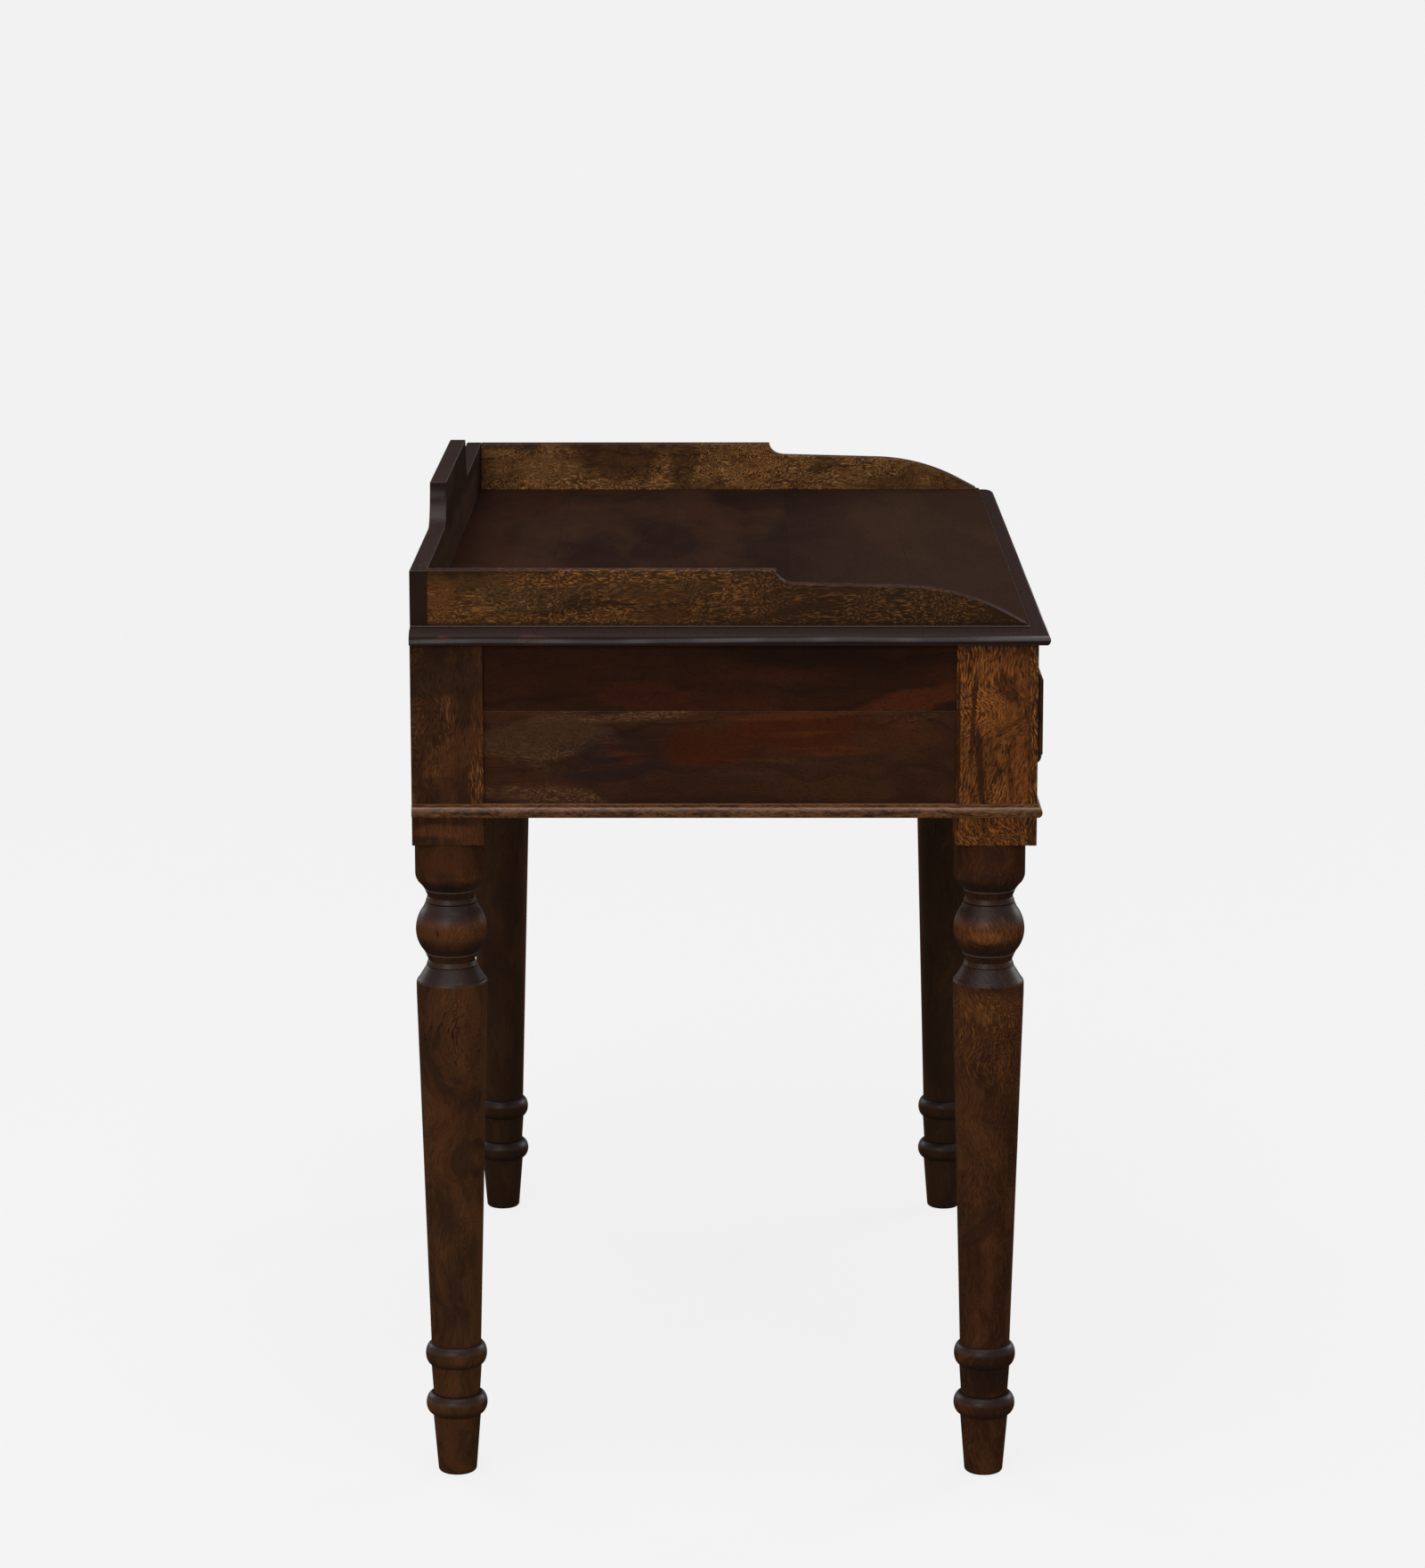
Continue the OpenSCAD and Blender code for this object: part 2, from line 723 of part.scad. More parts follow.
// A drawer side: outer is 1 for the side towards the table's end and -1 for the one towards its middle
module drawer_side(s, outer) {
  color(PALE) on_side(s) translate([x_drawer, 0, 0]) on_side(outer) difference() {
    along_x(box_w / 2 - side_t, side_t) union() {
      translate([y_box, z_drawer]) square([y_box_end - side_t - y_box, side_h]);
      translate([y_box_end - side_t, z_drawer]) square([side_t, back_up]);
      front_tails();
      rear_tails();
    }
    bottom_board();
  }
}

module drawer_back(s) {
  color(PALE) on_side(s) translate([x_drawer, 0, 0]) difference() {
    block([-box_w / 2, y_box_end - side_t, z_drawer + back_up], [box_w / 2, y_box_end, z_drawer + side_h]);
    for (e = [-1, 1]) {
      on_side(e) along_x(box_w / 2 - side_t, side_t + past) rear_tails();
    }
  }
}

module drawer_bottom(s) {
  color(PALE) on_side(s) translate([x_drawer, 0, 0]) bottom_board();
}

// What a router takes off a drawer front's edge: w runs inwards from the face, u inwards from the edge
function lip_cut() = concat(
  [[-past, -past], [-past, lip_edge_w], [lip_step, lip_edge_w]],
  bend([lip_t - lip_land, lip_edge_w], lip_t - lip_land - lip_step, lip_edge_w, 180, 270, 8),
  [[lip_t - lip_land, -past]]
);

// That cut along an edge of length l, with the edge at z = 0 and the face at y = 0
module lip_cutter(l) {
  along_x(-l / 2 - past, l + 2 * past) polygon(lip_cut());
}

module drawer_front(s) {
  color(BROWN) on_side(s) translate([x_drawer, 0, 0]) difference() {
    union() {
      block([-front_w / 2, y_face, z_pull - front_h / 2], [front_w / 2, y_seat, z_pull + front_h / 2]);
      block([-box_w / 2, y_face + lip_t / 2, z_drawer], [box_w / 2, y_box, z_drawer + side_h]);
    }
    for (a = [0, 180]) {
      translate([0, y_face, z_pull]) rotate([0, a, 0]) translate([0, 0, -front_h / 2]) lip_cutter(front_w);
    }
    for (a = [90, -90]) {
      translate([0, y_face, z_pull]) rotate([0, a, 0]) translate([0, 0, -front_w / 2]) lip_cutter(front_h);
    }
    for (e = [-1, 1]) {
      on_side(e) along_x(box_w / 2 - side_t, side_t + past) front_tails();
    }
    bottom_board();
    translate([0, y_face - past, z_pull]) rotate([-90, 0, 0])
      cylinder(d = shank_hole_d, h = front_t + 2 * past);
  }
}

// Ring pulls

rim_w = 2.2;                                     // width of a plate's rim
channel_w = 1.4;                                 // width of the channel between its rim and its dome
channel_z = 0.7 * plate_t;                       // height of that channel's floor
eye_bore_d = wire_d + 2 * wire_gap;
shank_hole_d = shank_d + 2 * hole_gap;
collar_d = shank_d + 2;                          // the shank's thicker part under the eye
washer_d = nut_w + 3;
shank_end = 2;                                   // length of shank that shows past the nut
shank_in = front_t + washer_t + nut_t + shank_end; // reach of the shank behind the drawer's face

// Puts a pull on its drawer: +Z of what is drawn points out of the drawer's face
module on_drawer(s) {
  translate([s * x_drawer, y_face, z_pull]) rotate([90, 0, 0]) children();
}

module pull_plate(s) {
  color(BRASS) on_drawer(s) difference() {
    rotate_extrude() polygon(concat(
      [[0, 0], [plate_r, 0], [plate_r, channel_z]],
      bend([plate_r - rim_w / 2, channel_z], rim_w / 2, channel_z, 20, 165, 6),
      [[plate_r - rim_w - channel_w / 2, channel_z]],
      bend([0, channel_z], plate_r - rim_w - channel_w, plate_t + plate_dome - channel_z, 5, 90, 8)
    ));
    translate([0, 0, -past]) cylinder(d = shank_hole_d, h = plate_t + plate_dome + 2 * past);
  }
}

module pull_eye(s) {
  collar_z = plate_t + plate_dome;
  color(BRASS) on_drawer(s) difference() {
    union() {
      translate([0, 0, -shank_in]) cylinder(d = shank_d, h = shank_in + eye_out - eye_bore_d / 2);
      translate([0, 0, collar_z]) cylinder(d = collar_d, h = eye_out - collar_z - eye_bore_d / 2);
      translate([-eye_w / 2, 0, eye_out]) rotate([0, 90, 0]) cylinder(r = eye_r, h = eye_w);
    }
    translate([-eye_w, 0, eye_out]) rotate([0, 90, 0]) cylinder(d = eye_bore_d, h = 2 * eye_w);
  }
}

module pull_nut(s) {
  color(STEEL) on_drawer(s) difference() {
    union() {
      translate([0, 0, -front_t - washer_t]) cylinder(d = washer_d, h = washer_t);
      translate([0, 0, -front_t - washer_t - nut_t]) cylinder(d = nut_w / cos(30), h = nut_t, $fn = 6);
    }
    translate([0, 0, -shank_in]) cylinder(d = shank_hole_d, h = shank_in);
  }
}

module pull_ring(s) {
  color(BRASS) on_drawer(s) translate([0, -ring_r, eye_out])
    rotate_extrude() translate([ring_r, 0]) circle(d = wire_d);
}

tabletop();
gallery_back();
gallery_side(-1);  // gallery_left
gallery_side(1);  // gallery_right
leg_front(-1);  // leg_front_left
leg_front(1);  // leg_front_right
leg_back(-1);  // leg_back_left
leg_back(1);  // leg_back_right
facing(-1);  // facing_left
facing(1);  // facing_right
front_top_rail();
front_bottom_rail();
drawer_divider();
end_upper_board(-1);  // end_upper_board_left
end_lower_board(-1);  // end_lower_board_left
end_upper_board(1);  // end_upper_board_right
end_lower_board(1);  // end_lower_board_right
back_panel();
bead_front();
bead_end(-1);  // bead_left
bead_end(1);  // bead_right
guide(-1);  // guide_left
guide_center();
guide(1);  // guide_right
runner(-1, x_slide_outer);  // runner_left_outer
runner(-1, x_slide_inner);  // runner_left_inner
runner(1, x_slide_inner);  // runner_right_inner
runner(1, x_slide_outer);  // runner_right_outer
kicker(-1, x_slide_outer);  // kicker_left_outer
kicker(-1, x_slide_inner);  // kicker_left_inner
kicker(1, x_slide_inner);  // kicker_right_inner
kicker(1, x_slide_outer);  // kicker_right_outer
gallery_screws();
top_screws();
runner_screws();
drawer_front(-1);  // drawer_front_left
drawer_side(-1, 1);  // drawer_side_left_outer
drawer_side(-1, -1);  // drawer_side_left_inner
drawer_back(-1);  // drawer_back_left
drawer_bottom(-1);  // drawer_bottom_left
drawer_front(1);  // drawer_front_right
drawer_side(1, 1);  // drawer_side_right_outer
drawer_side(1, -1);  // drawer_side_right_inner
drawer_back(1);  // drawer_back_right
drawer_bottom(1);  // drawer_bottom_right
pull_plate(-1);  // pull_plate_left
pull_eye(-1);  // pull_eye_left
pull_nut(-1);  // pull_nut_left
pull_ring(-1);  // pull_ring_left
pull_plate(1);  // pull_plate_right
pull_eye(1);  // pull_eye_right
pull_nut(1);  // pull_nut_right
pull_ring(1);  // pull_ring_right
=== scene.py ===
from math import cos, radians, sin

import bmesh
import bpy
from mathutils import Matrix, Vector


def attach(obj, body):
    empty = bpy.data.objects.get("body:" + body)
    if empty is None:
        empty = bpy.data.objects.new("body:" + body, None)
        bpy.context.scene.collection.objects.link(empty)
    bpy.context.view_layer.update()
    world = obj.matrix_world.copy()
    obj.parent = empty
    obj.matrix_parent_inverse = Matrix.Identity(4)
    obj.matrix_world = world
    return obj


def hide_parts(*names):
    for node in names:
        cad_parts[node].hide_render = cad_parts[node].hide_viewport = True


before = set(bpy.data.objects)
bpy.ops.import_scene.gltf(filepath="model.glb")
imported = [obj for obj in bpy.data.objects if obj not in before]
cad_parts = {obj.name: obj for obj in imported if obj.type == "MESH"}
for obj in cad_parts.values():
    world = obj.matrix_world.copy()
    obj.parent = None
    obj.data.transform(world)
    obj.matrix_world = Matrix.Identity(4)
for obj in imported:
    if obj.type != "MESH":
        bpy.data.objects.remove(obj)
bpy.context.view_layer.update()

# The studio: a pale floor that fades into a pale background, and wide soft lamps above, behind the camera, in
# front of the drawers and behind the table. The camera stands off the table's left end, a little above it,
# where the photographer stood. The lengths in this section are in metres.


def tone(red, green, blue):
    """A colour as a stain card gives it, each part from 0 to 255, made linear for a socket."""
    return [((c / 255 + 0.055) / 1.055) ** 2.4 if c > 10 else c / 3295 for c in (red, green, blue)] + [1.0]


class Wire:
    """An output in a tree of nodes. Sums written on it add Math nodes, and node() adds any other node."""

    def __init__(self, tree, socket=None):
        self.tree, self.socket = tree, socket

    def node(self, kind, settings, inputs, out=0):
        made = self.tree.nodes.new(kind)
        for name, value in settings.items():
            setattr(made, name, value)
        for name, value in inputs.items():
            if isinstance(value, Wire):
                self.tree.links.new(value.socket, made.inputs[name])
            else:
                made.inputs[name].default_value = value
        return Wire(self.tree, made.outputs[out] if len(made.outputs) else None)

    def also(self, out):
        """Another output of the same node."""
        return Wire(self.tree, self.socket.node.outputs[out])

    def sum(self, operation, first, second=0.0):
        return self.node("ShaderNodeMath", {"operation": operation}, {0: first, 1: second})

    def __add__(self, other):
        return self.sum("ADD", self, other)

    def __sub__(self, other):
        return self.sum("SUBTRACT", self, other)

    def __rsub__(self, other):
        return self.sum("SUBTRACT", other, self)

    def __mul__(self, other):
        return self.sum("MULTIPLY", self, other)

    def __truediv__(self, other):
        return self.sum("DIVIDE", self, other)

    def __pow__(self, other):
        return self.sum("POWER", self, other)

    def __abs__(self):
        return self.sum("ABSOLUTE", self)

    __radd__ = __add__
    __rmul__ = __mul__


def most(first, *others):
    """The largest of some masks at each point."""
    for other in others:
        first = first.sum("MAXIMUM", first, other)
    return first


def step(value, low, high, below=0.0, above=1.0):
    """below where a value is under low, above where it is over high, and a soft change between."""
    return value.node("ShaderNodeMapRange", {"interpolation_type": "SMOOTHSTEP"},
                      {0: value, 1: low, 2: high, 3: below, 4: above})


def blank(name):
    """A new material with an empty tree, and the first wire of that tree."""
    material = bpy.data.materials.new(name)
    material.use_nodes = True
    material.node_tree.nodes.clear()
    return material, Wire(material.node_tree)


def looked_at(wire):
    """1 on a ray from the camera, off a shiny face or through a clear one, and 0 on any other."""
    ray = wire.node("ShaderNodeLightPath", {}, {})
    return most(ray, ray.also("Is Glossy Ray"), ray.also("Is Transmission Ray"))


PALE, WHITE = tone(242, 242, 242), (1.0, 1.0, 1.0, 1.0)
DAYLIGHT = 0.46

world = bpy.data.worlds.new("studio")
bpy.context.scene.world = world
world.use_nodes = True
world.node_tree.nodes.clear()
air = Wire(world.node_tree)
daylight = air.node("ShaderNodeBackground", {}, {"Color": WHITE, "Strength": DAYLIGHT})
backdrop = air.node("ShaderNodeBackground", {}, {"Color": PALE, "Strength": 1.0})
sky = air.node("ShaderNodeMixShader", {}, {0: looked_at(air), 1: daylight, 2: backdrop})
air.node("ShaderNodeOutputWorld", {}, {"Surface": sky})

FLOOR_HALF = 60.0
FLOOR_NEAR, FLOOR_FAR, GLOW_NEAR = 0.7, 3.5, 0.93

floor_mesh = bpy.data.meshes.new("studio_floor")
floor_corners = [(x * FLOOR_HALF, y * FLOOR_HALF, 0) for x, y in ((-1, -1), (1, -1), (1, 1), (-1, 1))]
floor_mesh.from_pydata(floor_corners, [], [(0, 1, 2, 3)])
studio_floor = bpy.data.objects.new("studio_floor", floor_mesh)
bpy.context.scene.collection.objects.link(studio_floor)
floor_finish, lay = blank("pale_floor")
spot = lay.node("ShaderNodeTexCoord", {}, {}, out="Object")
reach = spot.node("ShaderNodeVectorMath", {"operation": "LENGTH"}, {0: spot}, out=1)
fade = step(reach, FLOOR_NEAR, FLOOR_FAR, GLOW_NEAR, 1.0)
matte = lay.node("ShaderNodeBsdfDiffuse", {}, {"Color": tone(226, 226, 226)})
even = lay.node("ShaderNodeEmission", {}, {"Color": PALE, "Strength": 1.0})
laid = lay.node("ShaderNodeMixShader", {}, {0: looked_at(lay) * fade, 1: matte, 2: even})
lay.node("ShaderNodeOutputMaterial", {}, {"Surface": laid})
floor_mesh.materials.append(floor_finish)


def soft_lamp(name, place, aim, width, height, power):
    """A rectangular lamp at a place, turned towards a point."""
    lamp = bpy.data.lights.new(name, "AREA")
    lamp.shape = "RECTANGLE"
    lamp.size, lamp.size_y, lamp.energy = width, height, power
    holder = bpy.data.objects.new(name, lamp)
    bpy.context.scene.collection.objects.link(holder)
    turned_to = (Vector(aim) - Vector(place)).to_track_quat("-Z", "Y")
    holder.matrix_world = Matrix.Translation(place) @ turned_to.to_matrix().to_4x4()


soft_lamp("top_lamp", (-0.9, 0.2, 2.9), (0.0, 0.0, 0.6), 2.0, 2.0, 62)
soft_lamp("camera_lamp", (-4.6, 1.5, 2.4), (0.0, 0.0, 0.5), 1.8, 1.4, 96)
soft_lamp("front_lamp", (2.6, -3.3, 1.7), (0.0, 0.0, 0.5), 1.8, 1.4, 92)
soft_lamp("back_lamp", (2.9, 3.0, 1.7), (0.0, 0.0, 0.5), 1.8, 1.4, 68)

# The camera is fitted to the photograph: metres, radians, and millimetres for its lens and film
CAMERA_PLACE = (-4.41766, -0.00212, 1.41219)
CAMERA_TURN, CAMERA_DIP, CAMERA_ROLL = 0.0053, 0.1955, -0.0011
CAMERA_LENS, CAMERA_FILM = 108.682, 36
ahead = Vector((cos(CAMERA_DIP) * cos(CAMERA_TURN), cos(CAMERA_DIP) * sin(CAMERA_TURN), -sin(CAMERA_DIP)))
level = ahead.cross(Vector((0, 0, 1))).normalized()
upward = level.cross(ahead)
right = cos(CAMERA_ROLL) * level + sin(CAMERA_ROLL) * upward
up = cos(CAMERA_ROLL) * upward - sin(CAMERA_ROLL) * level
camera = bpy.data.objects.new("camera", bpy.data.cameras.new("camera"))
camera.data.sensor_fit = "AUTO"
camera.data.sensor_width = CAMERA_FILM
camera.data.lens = CAMERA_LENS
camera.matrix_world = Matrix.Translation(CAMERA_PLACE) @ Matrix((right, up, -ahead)).transposed().to_4x4()
bpy.context.scene.collection.objects.link(camera)
bpy.context.scene.camera = camera
bpy.context.scene.view_settings.view_transform = "Standard"

# The tabletop: boards of sheesham glued edge to edge, stained nearly black and waxed, with a moulding run
# along the front and both ends. It is screwed down from below through the kickers.
MM = 0.001  # from here on, named sizes are in millimetres
TOP, FRONT, TOP_BOARD = 762.0, -268.35, 109.0
# Heights of the painted highlight along the moulding's nose: where it starts, is full, fades and ends
NOSE = (TOP - 12.4, TOP - 10.8, TOP - 9.4, TOP - 7.4)
WOOD_RELIEF = 0.4
# How far the pith lies behind a board's face, and how far the figure moves on from board to board
PITH, BOARD_SHIFT, BOARD_RISE = 55.0, 430.0, 9.0
# Angles between faces, in degrees: still flat, sharp enough to be sanded, and sharp enough to catch the light
FLAT_ANGLE, ARRIS_ANGLE, CREASE_ANGLE = 0.4, 38, 32


def rise(height, low, high):
    """0 below low and 1 above high, both in millimetres."""
    return step(height, low * MM, high * MM)


def between(height, start, full, fade, end):
    """0 below start, 1 from full to fade and 0 again above end, all in millimetres."""
    return rise(height, start, full) * (1 - rise(height, fade, end))


def blend(share, first, second, way="MIX"):
    """The first colour with a share of the second over it."""
    return share.node("ShaderNodeMix", {"data_type": "RGBA", "blend_type": way},
                      {0: share, 6: first, 7: second}, out=2)


def split(vector):
    """The three parts of a vector."""
    first = vector.node("ShaderNodeSeparateXYZ", {}, {0: vector})
    return first, first.also(1), first.also(2)


def xyz(wire, x, y, z):
    """A vector of three parts."""
    return wire.node("ShaderNodeCombineXYZ", {}, {0: x, 1: y, 2: z})


def stretch(vector, along, across, through):
    """A vector with each part scaled. Noise on it is drawn out the way that is scaled least."""
    return vector.node("ShaderNodeVectorMath", {"operation": "MULTIPLY"},
                       {0: vector, 1: (along, across, through)})


def cloud(vector, scale, detail=2.0, roughness=0.5):
    """Smooth noise from 0 to 1, of which most lies between 0.3 and 0.7."""
    return vector.node("ShaderNodeTexNoise", {"noise_dimensions": "3D"},
                       {"Vector": vector, "Scale": scale, "Detail": detail, "Roughness": roughness})


def wave(value, scale, detail, roughness=0.5):
    """The same noise along one number."""
    return value.node("ShaderNodeTexNoise", {"noise_dimensions": "1D"},
                      {"W": value, "Scale": scale, "Detail": detail, "Roughness": roughness})


def bumped(height, deep):
    """Bumps from a height, deep millimetres for each 1 of it, softened to a fifth."""
    return height.node("ShaderNodeBump", {}, {"Strength": 0.2, "Distance": deep * MM, "Height": height})


def patch(place, middle, half, lean=0.0, ragged=0.7):
    """An oval on a face at the table's left end: 1 inside it and 0 outside, with a ragged edge. The middle
    and the half sizes are y and z in millimetres, and lean turns the oval, in degrees."""
    y, z = split(place)[1:]
    dy = y - middle[0] * MM
    dz = z - middle[1] * MM
    turn = radians(lean)
    long = (dy * cos(turn) + dz * sin(turn)) * (1 / (half[0] * MM))
    short = (dz * cos(turn) - dy * sin(turn)) * (1 / (half[1] * MM))
    edge = (cloud(stretch(place, 18, 18, 40), 1.0, 3.0) - 0.5) * (2.4 * ragged)
    return 1 - step((long * long + short * short) ** 0.5 + edge, 0.55, 1.05)


def sheesham(name, grain, seed, brown, gold, dark, red, heart=0.5, glow=0.35, fleck=0.5, hair=0.4, curly=0.4,
             ring=0.3, mottle=0.0, grit=0.15, shot=(98, 68, 38), wax=0.01, sheen=0.25, gloss=0.27,
             board=None, marks=None, finish=None):
    """Stained sheesham. grain is the axis that the fibres follow, and curly says how far they wander. heart,
    glow, fleck, hair, ring, mottle and grit say how much of the face is dark heartwood, red, shot with golden
    fibres, shot with dark ones, lined by growth rings, blotched and speckled, and shot is the golden fibres'
    colour. board is where the first of a row of boards starts, and their width. wax is the weight of the
    coat, sheen is what rubbing adds to it on curves that face up, and gloss is its roughness. marks paints
    what one piece alone shows, and finish changes its coat and its bumps."""
    material, wire = blank(name)
    place = wire.node("ShaderNodeTexCoord", {}, {}, out="Object")
    facing = split(place.also("Normal"))
    parts = split(place)
    along, across, through = [parts[axis] for axis in ((0, 1, 2), (1, 0, 2), (2, 1, 0))[grain]]
    if board:
        first, width = board
        boards = (across - first * MM) / (width * MM)
        number = wire.sum("FLOOR", boards)
        seam = abs(abs(boards - number - 0.5) - 0.5)
        along = along + number * (BOARD_SHIFT * MM)
        through = through + number * (BOARD_RISE * MM)
    fibre = xyz(wire, along + seed * 1.7, across + seed * 0.9, through + seed * 0.6)

    # The fibres wander across the board, and the growth rings lie round a pith behind its face
    sway = cloud(stretch(fibre, 3.0, 9.0, 9.0), 1.0, 2.0)
    curl = cloud(stretch(fibre, 17.0, 8.0, 8.0), 1.0, 1.0)
    ripple = cloud(stretch(fibre, 66.0, 26.0, 26.0), 1.0, 1.0)
    bent = (curl - 0.5) * (0.08 * curly) + (ripple - 0.5) * (0.007 * curly)
    flow = wire.node("ShaderNodeVectorMath", {"operation": "ADD"},
                     {0: fibre, 1: xyz(wire, 0.0, bent, bent * 0.6)})
    sunk = through + PITH * MM
    over = across + bent
    rings = (over * over + sunk * sunk) ** 0.5 + sway * 0.05
    band = wave(rings + seed, 130.0, 3.0, 0.6)
    broad = wave(rings + seed * 2, 26.0, 1.0)
    wobble = band - 0.5

    # Where the heartwood, the red, the golden fibres, the dark ones and the pores are
    drift = cloud(stretch(fibre, 2.4, 8.0, 8.0), 1.0, 3.0)
    heartwood = step(drift * 0.65 + broad * 0.35 + wobble * 0.12, 0.62 - heart * 0.25, 0.69 - heart * 0.23)
    ember = cloud(stretch(fibre, 4.5, 17.0, 17.0), 1.3, 2.0)
    warm = step(ember + wobble * 0.25, 0.62 - glow * 0.22, 0.80 - glow * 0.2)
    haze = cloud(stretch(flow, 9.0, 26.0, 26.0), 1.0, 4.0, 0.6)
    hairs = cloud(stretch(flow, 115.0, 880.0, 880.0), 1.0, 2.0, 0.6)
    thicket = cloud(stretch(fibre, 9.0, 24.0, 24.0), 1.0, 3.0)
    zone = step(thicket + wobble * 0.3, 0.64 - fleck * 0.34, 0.80 - fleck * 0.32)
    flecks = step(hairs, 0.50, 0.64) * zone
    deep = 1 - step(hairs, 0.36, 0.48)
    pores = step(cloud(stretch(flow, 70.0, 900.0, 900.0), 1.0, 1.0), 0.58, 0.70)

    colour = blend(step(haze, 0.35, 0.66) * 0.85, brown, gold)
    colour = blend(warm * 0.75, colour, red)
    colour = blend(heartwood * 0.85, colour, dark)
    colour = blend(step(band, 0.52, 0.68) * ring, colour, dark)
    if mottle:
        blots = cloud(stretch(flow, 24.0, 60.0, 60.0), 1.0, 4.0, 0.65)
        colour = blend(step(blots, 0.50, 0.60) * mottle, colour, dark)
        colour = blend((1 - step(blots, 0.36, 0.47)) * mottle, colour, gold)
    specks = cloud(stretch(flow, 95.0, 430.0, 430.0), 1.0, 3.0, 0.7)
    colour = blend(step(specks, 0.52, 0.64) * grit, colour, gold)
    colour = blend((1 - step(specks, 0.36, 0.48)) * grit, colour, dark)
    if marks:
        colour, flecks, deep = marks(place, flow, colour, flecks, deep, band)
    colour = blend(deep * hair, colour, dark)
    colour = blend(flecks * (1 - heartwood * 0.75) * 0.65, colour, tone(*shot))
    colour = blend(pores * 0.35, colour, tone(18, 10, 8))
    end_grain = step(abs(facing[grain]), 0.72, 0.9)
    colour = blend(end_grain * 0.75, colour, tone(24, 15, 12))
    if board:
        colour = blend((1 - step(seam, 0.001, 0.006)) * 0.2, colour, tone(20, 12, 10))

    relief = flecks * 0.2 - pores * 0.7 - deep * 0.3 + haze * 0.4
    bump = bumped(relief, WOOD_RELIEF)
    lift = facing[2]
    coat = step(lift, 0.06, 0.34) * (1 - step(lift, 0.84, 0.97)) * sheen + wax
    if finish:
        coat, bump = finish(place, coat, relief, bump)
    surface = wire.node("ShaderNodeBsdfPrincipled", {}, {
        "Base Color": colour, "Roughness": 0.50 + haze * 0.16, "Specular IOR Level": 0.0,
        "Coat Weight": coat, "Coat Roughness": gloss, "Normal": bump})
    wire.node("ShaderNodeOutputMaterial", {}, {"Surface": surface})
    return material


def shade(mesh):
    """Smooth shading, with a hard line where two faces meet at more than the crease angle. At a corner the
    larger face counts for more, so that a broad flat face stays flat up to its rounded arris."""
    work = bmesh.new()
    work.from_mesh(mesh)
    corners = []
    limit = cos(radians(CREASE_ANGLE))
    area = [face.calc_area() for face in work.faces]
    for face in work.faces:
        face.smooth = True
        for corner in face.loops:
            near = [f for f in corner.vert.link_faces if f.normal.dot(face.normal) > limit]
            mean = sum((f.normal * area[f.index] for f in near), Vector())
            corners.append(mean.normalized() if mean.length > 0 else face.normal.copy())
    work.to_mesh(mesh)
    work.free()
    mesh.normals_split_custom_set(corners)


def sanded(node, name, body, material, radius, shortest=1.3, segments=3):
    """A copy of a CAD piece with its arrises rounded off, as sandpaper leaves them. Edges shorter than
    shortest, such as those round a screw hole, stay sharp. Both lengths are in millimetres."""
    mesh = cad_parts[node].data.copy()
    work = bmesh.new()
    work.from_mesh(mesh)
    bmesh.ops.remove_doubles(work, verts=work.verts, dist=0.02 * MM)
    bmesh.ops.dissolve_limit(work, angle_limit=radians(FLAT_ANGLE), verts=work.verts, edges=work.edges)
    arrises = [e for e in work.edges if len(e.link_faces) == 2 and e.is_convex
               and e.calc_face_angle() > radians(ARRIS_ANGLE) and e.calc_length() > shortest * MM]
    if arrises:
        bmesh.ops.bevel(work, geom=arrises, offset=radius * MM, segments=segments, profile=0.5,
                        affect="EDGES", clamp_overlap=True, offset_type="OFFSET")
    plain = bpy.data.meshes.new(name)
    work.to_mesh(plain)
    work.free()
    plain.materials.append(material)
    shade(plain)
    piece = bpy.data.objects.new(name, plain)
    bpy.context.scene.collection.objects.link(piece)
    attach(piece, body)
    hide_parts(node)


def painted_highlight_bands(place):
    """Where a highlight is painted on the moulding: a wavering line along its nose, and its upper arris.
    The flat back edge has neither."""
    y, height = split(place)[1:]
    backward, lift = split(place.also("Normal"))[1:]
    moulded = 1 - step(backward, 0.3, 0.6)
    waver = height + (cloud(place, 6.0, 1.0) - 0.5) * 0.003 + y * 0.006
    nose = between(waver, *NOSE) * (step(cloud(place, 16.0, 3.0), 0.42, 0.58) * 0.4 + 0.75)
    arris = rise(height, TOP - 1.5, TOP - 1.1) * (1 - step(lift, 0.90, 0.99))
    return nose * moulded * (1 - rise(height, TOP - 6, TOP - 5)), arris * moulded


